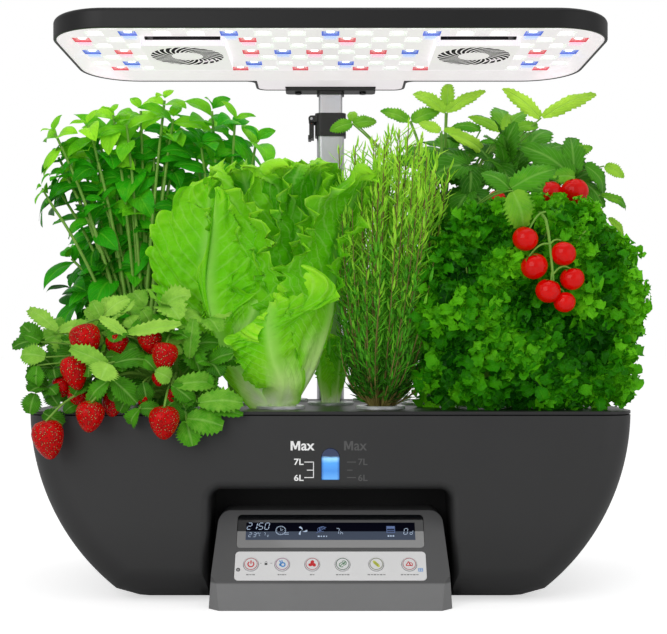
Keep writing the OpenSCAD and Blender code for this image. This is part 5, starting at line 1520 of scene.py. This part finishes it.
# One long leaf on a thick rib: the blade wraps the heart low down, opens out higher up and ends in a frill
def lettuceLeaf(plant, rng, rib, front, halves, skew, blunt, wrap, foot, frill, tint, columns=72,
                rows=184):
    bm = grid(columns, rows)
    length = sum((a - b).length for a, b in zip(rib, rib[1:]))
    phase, seed = rng.random() * 6, rng.random() * 50
    for v in bm.verts:
        u, t = v.co.x * 2, v.co.y + 0.5
        u = math.copysign(1 - (1 - abs(u)) ** 1.4, u)
        at, run = pathPoint(rib, t)
        side = run.cross(front).normalized()
        out = side.cross(run)
        half = halves[0] if u < 0 else halves[1]
        grow = min(1, max(0, t - 0.1) / 0.42)
        w = foot + (half - foot) * grow * grow * (3 - 2 * grow)
        if t > blunt:
            w *= math.sqrt(max(0.02, 1 - ((t - blunt) / (1.003 - blunt)) ** 2))
        ring = math.atan2(u * half, (t - 0.5) * length * 0.8)
        w *= 1 + (0.05 * math.sin(11 * ring + phase) + 0.022 * math.sin(71 * ring)) * abs(u) ** 2
        late = max(0, t - 0.45) / 0.55
        bend = wrap * (0.5 + 0.5 * grow) * (1 + late)
        angle = min(1.7, abs(u) * w / bend)
        across = bend * math.sin(angle) * (1 if u > 0 else -1)
        back = -bend * (1 - math.cos(angle)) * (1 - 1.25 * late)
        rim = min((1 - abs(u)) * w, (1 - t) * length)
        mask = math.exp(-rim / (0.17 * half + 3)) * min(1, t * 2.4) ** 2
        near = math.exp(-rim / 5) * min(1, t * 2) ** 2
        wave = 0.5 * math.sin(9 * ring + phase) + 0.5 * math.sin(21 * ring + 3 * phase) \
            + 0.4 * math.sin(43 * ring + 2 * phase)
        puff = noise.noise(Vector((u * w * 0.07 + seed, t * length * 0.06, 0))) * 5 * grow * grow
        puff += noise.noise(Vector((u * w * 0.22 + seed, t * length * 0.2, 4))) * 2.2 * grow
        keel = 3.2 * (1 - t) ** 0.7 * math.exp(-(u * w / 5.5) ** 2)
        calm = 1 - math.exp(-(u * w / 8) ** 2)
        shift = back + keel + puff * calm + frill * (wave * mask + 0.34 * near * math.sin(79 * ring + phase))
        v.co = at + side * (across + frill * 0.4 * mask * math.sin(23 * ring + phase)) + out * shift \
            + run * (frill * (0.3 * mask * math.cos(19 * ring + 3 * phase)
                              + 0.2 * near * math.cos(67 * ring)) + skew * u * t * t * length)
        limit, top = lettuceShape["room"]
        if v.co.x < limit:
            v.co.x += 0.92 * (limit - v.co.x) * min(1, max(0, (top - v.co.z) / 12))
    plant.add(meshOf(bm, "blade"), Matrix(), tint, 0, True)


# A leaf of the whorl, from its bearing and how far it swells and flares
def whorlLeaf(plant, rng, pot, bearing, height, swell, flare, half, wrap, foot, frill, columns=36, rows=90):
    turn = rad(bearing - 90)
    out = Vector((math.cos(turn), math.sin(turn), 0))
    sway = Vector((-out.y, out.x, 0)) * spread(rng, -8, 8) * height / 190
    rib = [pot + out * r + sway * h + Vector((0, 0, height * h)) for r, h in
           ((foot * 0.7, 0), (swell * 0.66, 0.17), (swell, 0.38), (swell * 1.02 + flare * 0.1, 0.6),
            (swell + flare * 0.4, 0.8), (swell + flare, 0.95))]
    lettuceLeaf(plant, rng, rib, out, (half, half), 0, 0.66, wrap, foot, frill, spread(rng, 0.2, 1.0),
                columns, rows)


# Pale rib and foot, slanting veins with a faint net between them, a frill made bright by a painted highlight
# along the rim, painted shade by the leaf's tint towards its tip, and a little glow as painted light
def makeLettuceSkin(name, rib, blade, frill, edge, deep):
    skin = Finish(name, blade, emissionStrength=0.12, specularIorLevel=0.1)
    u, t, tint, broad = skin.blade(18)
    net = skin.cells(7, feature="DISTANCE_TO_EDGE")
    vein = skin.fade(net, 0.01, 0.07, 1.0, 0.0)
    slant = skin.fraction((t - u * 0.3 + broad * 0.035) * 17)
    side = skin.fade(abs(slant - 0.5), 0.02, 0.14, 1.0, 0.0)
    green = skin.ramp(t * 1.0 + u * u * 0.35 + broad * 0.3 - 0.22, (0.0, (0.7, 0.84, 0.52)), (0.14, rib),
                      (0.34, blade), (0.62, frill), (1.0, blade))
    # Painted shade: leaves with a higher tint darken towards their tips
    dark = skin.fade(tint + broad * 0.5, 0.45, 1.3)
    green = skin.tones(dark * t, green, deep)
    ribs = skin.fade(u + t * 0.12, 0.03, 0.2, 0.9, 0.0)
    lines = ribs.calc("MAXIMUM", ribs, (side * 0.3).calc("MAXIMUM", side * 0.3, vein * 0.12))
    # Painted highlight along the rim and the tip
    rim = skin.fade(u.calc("MAXIMUM", u, t), 0.9, 1.0, 0.0, 0.8)
    green = skin.tones(rim * t, green, edge)
    tone = skin.tones(lines * 0.62, green, rib)
    skin.feed(baseColor=tone, emissionColor=tone, roughness=broad * 0.15 + 0.36)
    return skin.bump(lines * 0.6 + broad * 2, 0.9)


def makeLettuces():
    s = lettuceShape
    rng = random.Random(s["seed"])
    look = makeLettuceSkin("lettuceLeaf", (0.5, 0.8, 0.22), (0.2, 0.62, 0.01), (0.14, 0.58, 0.003),
                           (0.4, 0.9, 0.03), (0.02, 0.26, 0.001))
    plant = Foliage()
    for rib, front, *rest in s["front"]:
        lettuceLeaf(plant, rng, [Vector(p) for p in rib], Vector(front), *rest)
    for leaf in s["whorl"]:
        whorlLeaf(plant, rng, Vector((*pods["lettuce"], 142.2)), *leaf, 12, 8)
    plant.finish("lettucePlant", "pod_lettuce", "lettuce_leaf", [look], "lettuce")
    small = Foliage()
    for leaf in s["small"]:
        whorlLeaf(small, rng, Vector((*pods["baby_lettuce"], 142.2)), *leaf, 11, 12, 6, 2.6, 16, 32)
    small.finish("babyLettucePlant", "pod_baby_lettuce", "lettuce_leaf", [look], "baby_lettuce")


# Rosemary

rosemaryShape = dict(stems=172, reach=(36, 31), lean=7, tall=(160, 226), short=(26, 150), needle=(8, 14),
                     gap=2.3, seed=11)


def makeRosemary():
    s = rosemaryShape
    rng = random.Random(s["seed"])
    plant = Foliage()
    needles = [leafShape(lambda t: 0.085 * swelling(t, 0.1, 0.86, 1), 2, 3, 0.5, curl)
               for curl in (0.3, -0.4, 0.8)]
    pot = Vector((*pods["rosemary"], 142))
    for i in range(s["stems"]):
        a, far = rng.random() * fullTurn, math.sqrt(rng.random())
        low = i % 5 < 2
        high = spread(rng, *s["short" if low else "tall"]) * (1 - 0.12 * far)
        foot = pot + Vector((9 * far * math.cos(a), 9 * far * math.sin(a), 0))
        tip = foot + Vector((s["lean"] + s["reach"][0] * far * math.cos(a) + spread(rng, -6, 6),
                             s["reach"][1] * far * math.sin(a), high))
        middle = foot.lerp(tip, 0.3) + Vector((17 * math.cos(a) * far, 12 * math.sin(a) * far, 0))
        path = bow(foot, middle, tip, 12)
        plant.stem(path, 0.75, 0.4)
        length = sum((b - c).length for b, c in zip(path, path[1:]))
        count = int(length / s["gap"])
        for k in range(count):
            t = 0.1 + 0.9 * k / count
            if t < 0.22 and not low and rng.random() < 0.4:
                continue
            spot = t * 12
            j = min(11, int(spot))
            at = path[j].lerp(path[j + 1], spot - j)
            ahead = (path[j + 1] - path[j]).normalized()
            b = rng.random() * fullTurn
            side = Vector((math.cos(b), math.sin(b), 0))
            needle = rng.choice(needles)
            matrix = aim(at, side * spread(rng, 0.5, 1.3) + ahead, side, spread(rng, *s["needle"]))
            # Painted shade and light: needles are darker low down and paler high up
            plant.add(needle, matrix, (at.z - 150) / 150 + spread(rng, -0.25, 0.4))
    plant.finish("rosemaryPlant", "pod_rosemary", "rosemary_leaf",
                 [makeLeaf("rosemaryLeaf", (0.005, 0.05, 0.003), (0.1, 0.5, 0.02), (0.5, 0.95, 0.06),
                           (0.4, 0.75, 0.2), 0.45, 1, 0, 0.2),
                  makeStem("rosemaryStem", (0.1, 0.06, 0.02), (0.34, 0.3, 0.08))], "rosemary", 0)


# Parsley

# Leaflets keep above the deck, and in front of it they may hang to the lowest height
parsleyShape = dict(pot=(115.5, -54, 142), middle=(150, -58, 213), reach=(84, 42, 84), sprigs=5800,
                    size=(6.5, 12.5), deck=149, lowest=128, seed=13)


# Small crimped leaflets over a full, boxy mound, in mossy lumps; painted shade makes them darker the deeper
# they lie, and painted light paler on top and on the right
def makeParsley():
    s = parsleyShape
    rng = random.Random(s["seed"])
    crown, skirt = Foliage(), Foliage()

    def lobed(t):
        return 0.5 * swelling(t, 0.06, 0.86, 0.5, 0.06) * (0.66 + 0.34 * abs(math.cos(7.5 * t)))
    blades = [leafShape(lobed, 4, 7, fold, curl, 0.16, waves, 0.17, 0.2)
              for fold, curl, waves in ((0.4, 0.9, 2.5), (0.8, 1.5, 3.2), (0.2, -0.8, 2.2),
                                        (0.6, 0.3, 3.6), (1.0, 1.2, 1.6))]
    pot, deck = Vector(s["pot"]), s["deck"]
    for i in range(s["sprigs"]):
        way = Vector((rng.gauss(0, 1), rng.gauss(0, 1), rng.gauss(0, 1))).normalized()
        rear = way.y > 0.25 and i % 3 == 0
        if way.y > 0.25 and not rear:
            way.y *= -1
        full = (abs(way.x) ** 4 + abs(way.y) ** 4 + abs(way.z) ** 4) ** -0.25
        lump = noise.noise(way * 2.7 + Vector((3, 8, 1))) + 0.5 * noise.noise(way * 6 + Vector((7, 1, 4)))
        push = full * spread(rng, 0.82, 1.0) * (0.9 + 0.2 * lump)
        at = Vector(c + r * w * push for c, r, w in zip(s["middle"], s["reach"], way))
        hang = at.y < -96 and (abs(at.x - 158) < 30 or at.x > 200)
        at.x -= 14 * max(0, (at.z - 260) / 40) * (1 if at.x > 200 else -0.4)
        if at.z < deck and not hang:
            at.z = deck + (deck - at.z) * 0.3
        at.z = max(at.z, s["lowest"])
        up = Vector((way.x * 0.7, way.y * 1.1 - 0.25, max(way.z, -0.1) + 0.5))
        up += Vector((rng.gauss(0, 0.4), 0, rng.gauss(0, 0.4)))
        along = Vector((rng.gauss(0, 1), rng.gauss(0, 0.7), rng.gauss(0.15, 0.8)))
        # Painted shade in the hollows, painted light on the top and the right side
        tint = 0.3 + 0.8 * lump + 0.2 * way.z + 0.3 * max(0, way.x)
        tint += 0.4 * noise.noise(at * 0.07) + spread(rng, -0.3, 0.4)
        size = spread(rng, *s["size"]) * (1.6 if rear else 1)
        blade = rng.choice(blades)
        (crown if way.z > 0 else skirt).add(blade, aim(at, along, up, size), tint)
        if i % 45 == 0:
            skirt.stem(bow(pot, pot.lerp(at, 0.5) + Vector((0, 0, 16)), at, 6), 1.1, 0.7)
    look = makeLeaf("parsleyLeaf", (0.002, 0.05, 0.001), (0.028, 0.25, 0.002), (0.15, 0.6, 0.01),
                    (0.09, 0.42, 0.01), 0.32, 5, 1.4, 0.25, 10, 0.08)
    crown.finish("parsleyCrown", "base", "parsley_leaf", [look], "parsley")
    skirt.finish("parsleySkirt", "base", "parsley_leaf", [look, stemGreen], None)


# Tomato

tomatoShape = dict(
    leaflets=(
        (132, -98, 302, -20, 17, 22, 0.36), (131, -100, 303, 37, 19, 26, 0.5),
        (131, -112, 300, 13, -30, 32, 0.64), (192, -30, 321, -42, 32, 31, 0.34),
        (193, -26, 323, -1, 40, 26, 0.3), (192, -34, 321, -20, 0, 19, 0.66),
        (201, -24, 332, 28, -22, 22, 0.36), (192, -20, 340, 17, 7, 14, 0.6),
        (219, -16, 332, 16, -9, 16, 0.85), (215, -20, 308, 32, -8, 11, 0.5),
        (202, -22, 305, 18, -12, 12, 0.75), (221, -18, 290, 19, -14, 10, 0.8),
        (171, 0, 373, -30, 27, 18, 1.05), (171, -2, 373, 51, 28, 17, 1.1), (95, 8, 379, -29, 25, 16, 1.),
        (94, 6, 379, 32, 20, 15, 0.95), (96, 10, 380, 1, 30, 16, 0.9), (90, -6, 362, 59, -22, 18, 1.05),
        (89, -4, 361, -18, 13, 15, 0.95), (18, 10, 371, -19, -5, 16, 0.55),
        (18, 12, 371, 21, 4, 16, 0.6), (19, 14, 373, -2, 12, 12, 0.7), (65, 8, 372, -24, 9, 17, 0.62),
        (66, 10, 373, 24, 9, 18, 0.6), (140, 4, 363, -27, 15, 12, 0.78), (142, 6, 362, 5, 20, 12, 0.72),
        (169, 0, 366, -25, 1, 16, 0.58), (123, 6, 365, -24, 6, 15, 0.48),
        (129, -14, 324, -40, 0, 23, 0.16), (124, -20, 309, -25, -22, 20, 0.24),
        (113, -12, 312, -23, -16, 16, 0.5), (137, 4, 354, -15, 1, 8, 0.45),
        (173, -40, 308, -19, 5, 15, 0.3)),
    fronds=(  # where the leaflets meet, the main one's slant, size, tone and number of leaflets
        (112, -8, 334, 200, 40, 0.12, 5), (86, -4, 330, 170, 36, 0.2, 3), (112, -20, 312, 240, 36, 0.12, 5),
        (140, -8, 336, 100, 36, 0.2, 5), (166, -10, 332, 20, 38, 0.2, 5), (128, 42, 350, 120, 42, 0.4, 5),
        (164, 42, 350, 60, 42, 0.45, 5), (192, 32, 332, 0, 40, 0.4, 5), (102, 44, 352, 150, 40, 0.45, 5),
        (64, 26, 346, 190, 36, 0.4, 3), (180, 44, 308, -20, 42, 0.3, 5), (140, 48, 312, 200, 44, 0.3, 5),
        (200, 14, 310, -40, 34, 0.35, 3), (90, -14, 306, 190, 32, 0.12, 3),
        (196, -12, 322, -30, 32, 0.25, 3),
        (150, 20, 300, 260, 40, 0.2, 5), (146, 30, 366, 90, 34, 0.5, 3)),
    truss=((141.5, -104, 266, 9.4), (148, -104, 246, 9.9), (169, -105, 255, 9.2), (175.5, -104, 237, 8.9),
           (157.5, -107, 228, 9.2), (170, -104, 220, 8.0)),
    behind=((191, -36, 309, 11), (172, -34, 308, 10), (131, -30, 304, 7)),
    # the stem from its foot to the fork, then the truss's stem, with the knot that each fruit hangs from
    foot=(77, 6, 142), bend=(70, 4, 205), fork=(92, 12, 262), start=(120, -24, 300),
    knots=((150, -60, 292), (157, -100, 286), (159, -106, 262), (161, -107, 240), (162, -107, 226)),
    hangs=(1, 2, 2, 3, 3, 4), rearKnot=(150, -20, 322), seed=17)


def makeFruit():
    fruit = Finish("tomatoRed", (0.72, 0.006, 0.004), coatWeight=0.45, coatRoughness=0.05,
                   specularIorLevel=0.03)
    broad = fruit.grain(9, 2)
    return fruit.feed(baseColor=fruit.tones(broad, (0.66, 0.001, 0.0005), (0.95, 0.004, 0.001)),
                      roughness=broad * 0.08 + 0.3)


def tomatoFruit(plant, rng, at, r, sepal):
    bm = bmesh.new()
    bmesh.ops.create_uvsphere(bm, u_segments=28, v_segments=18, radius=1)
    for v in bm.verts:  # a dimple at the stalk and faint shoulders
        flat = math.sqrt(v.co.x ** 2 + v.co.y ** 2)
        if v.co.z > 0:
            v.co.z -= 0.16 * math.exp(-(flat / 0.3) ** 2)
        v.co.z *= 0.94
    turn = Matrix.Translation(at) @ tilt(spread(rng, -0.5, 0.5), spread(rng, -0.4, 0.2))
    plant.add(meshOf(bm, "fruit"), turn @ Matrix.Scale(r, 4), 0.5, 2, True)
    top = turn @ Matrix.Translation((0, 0, r * 0.8))
    growSepals(plant, rng, sepal, top, r * 0.95, 5, 1.257, 0.25, 0.3, 0.7)
    return turn @ Vector((0, 0, r * 0.84))


def makeTomato():
    s = tomatoShape
    rng = random.Random(s["seed"])
    plant = Foliage()

    def serrate(t):
        return 0.36 * swelling(t ** 0.85, 0.07, 0.9, 0.75)
    blades = [leafShape(serrate, 8, 20, fold, curl, 0.24, 2.5, 0.02, 0.25, 0.02)
              for fold, curl in ((0.12, 0.35), (0.25, 0.7), (0.08, 0.5), (0.3, 0.15))]
    fork = Vector(s["fork"])
    plant.stem(bow(s["foot"], s["bend"], fork, 8), 3.4, 2.4)
    growLeaflets(plant, rng, blades, s["leaflets"], fork)
    for x, y, z, slant, size, tone, count in s["fronds"]:
        start = Vector((x, y, z))
        a = rad(slant)
        ahead = Vector((math.cos(a), -0.45 if y < 20 else 0.35, math.sin(a) * 0.8)).normalized()
        plant.stem(bow(fork, fork.lerp(start, 0.55) + Vector((0, 0, 16)), start, 7), 1.7, 1.0)
        up = Vector((spread(rng, -0.2, 0.2), -0.7 if y < 20 else -0.3, 0.75))
        spots = ((0, 0.0), (1.05, 0.0), (-1.05, 0.0), (1.5, -0.5), (-1.5, -0.5))
        for k, back in spots[:count]:
            at = start + ahead * back * size
            along = Matrix.Rotation(k, 3, up) @ ahead + Vector((0, 0, spread(rng, -0.25, 0.1)))
            blade = rng.choice(blades)
            turned = up + Vector((spread(rng, -0.25, 0.25), spread(rng, -0.2, 0.2), 0))
            matrix = aim(at, along, turned, size * (1 if k == 0 else 0.86) * spread(rng, 0.92, 1.1))
            plant.add(blade, matrix, tone + spread(rng, -0.12, 0.12))
    sepal = leafShape(oval(0.1, 0.3), 2, 4, 0.2, 0.7)
    knots = [Vector(p) for p in s["knots"]]
    plant.stem([fork, Vector(s["start"])] + knots, 1.6, 0.9)
    for (x, y, z, r), hang in zip(s["truss"], s["hangs"]):
        top = tomatoFruit(plant, rng, Vector((x, y, z)), r, sepal)
        knot = knots[hang]
        plant.stem(bow(knot, (knot + top) / 2 + Vector((0, 0, 7)), top, 5), 0.8, 0.7)
    for x, y, z, r in s["behind"]:
        top = tomatoFruit(plant, rng, Vector((x, y, z)), r, sepal)
        plant.stem(bow(s["rearKnot"], top + Vector((-4, 6, 12)), top, 5), 0.9, 0.8)
    plant.finish("tomatoPlant", "base", "tomato_leaf",
                 [makeLeaf("tomatoLeaf", (0.006, 0.07, 0.002), (0.09, 0.38, 0.015), (0.52, 0.92, 0.07),
                           (0.36, 0.7, 0.14), 0.4, 7, 1.0, 0.3), stemGreen, makeFruit()], "tomato_plant")


makeBasil()
print("basil made")
makeStrawberry()
print("strawberry made")
makeLettuces()
print("lettuces made")
makeRosemary()
print("rosemary made")
makeParsley()
print("parsley made")
makeTomato()
print("tomato made")
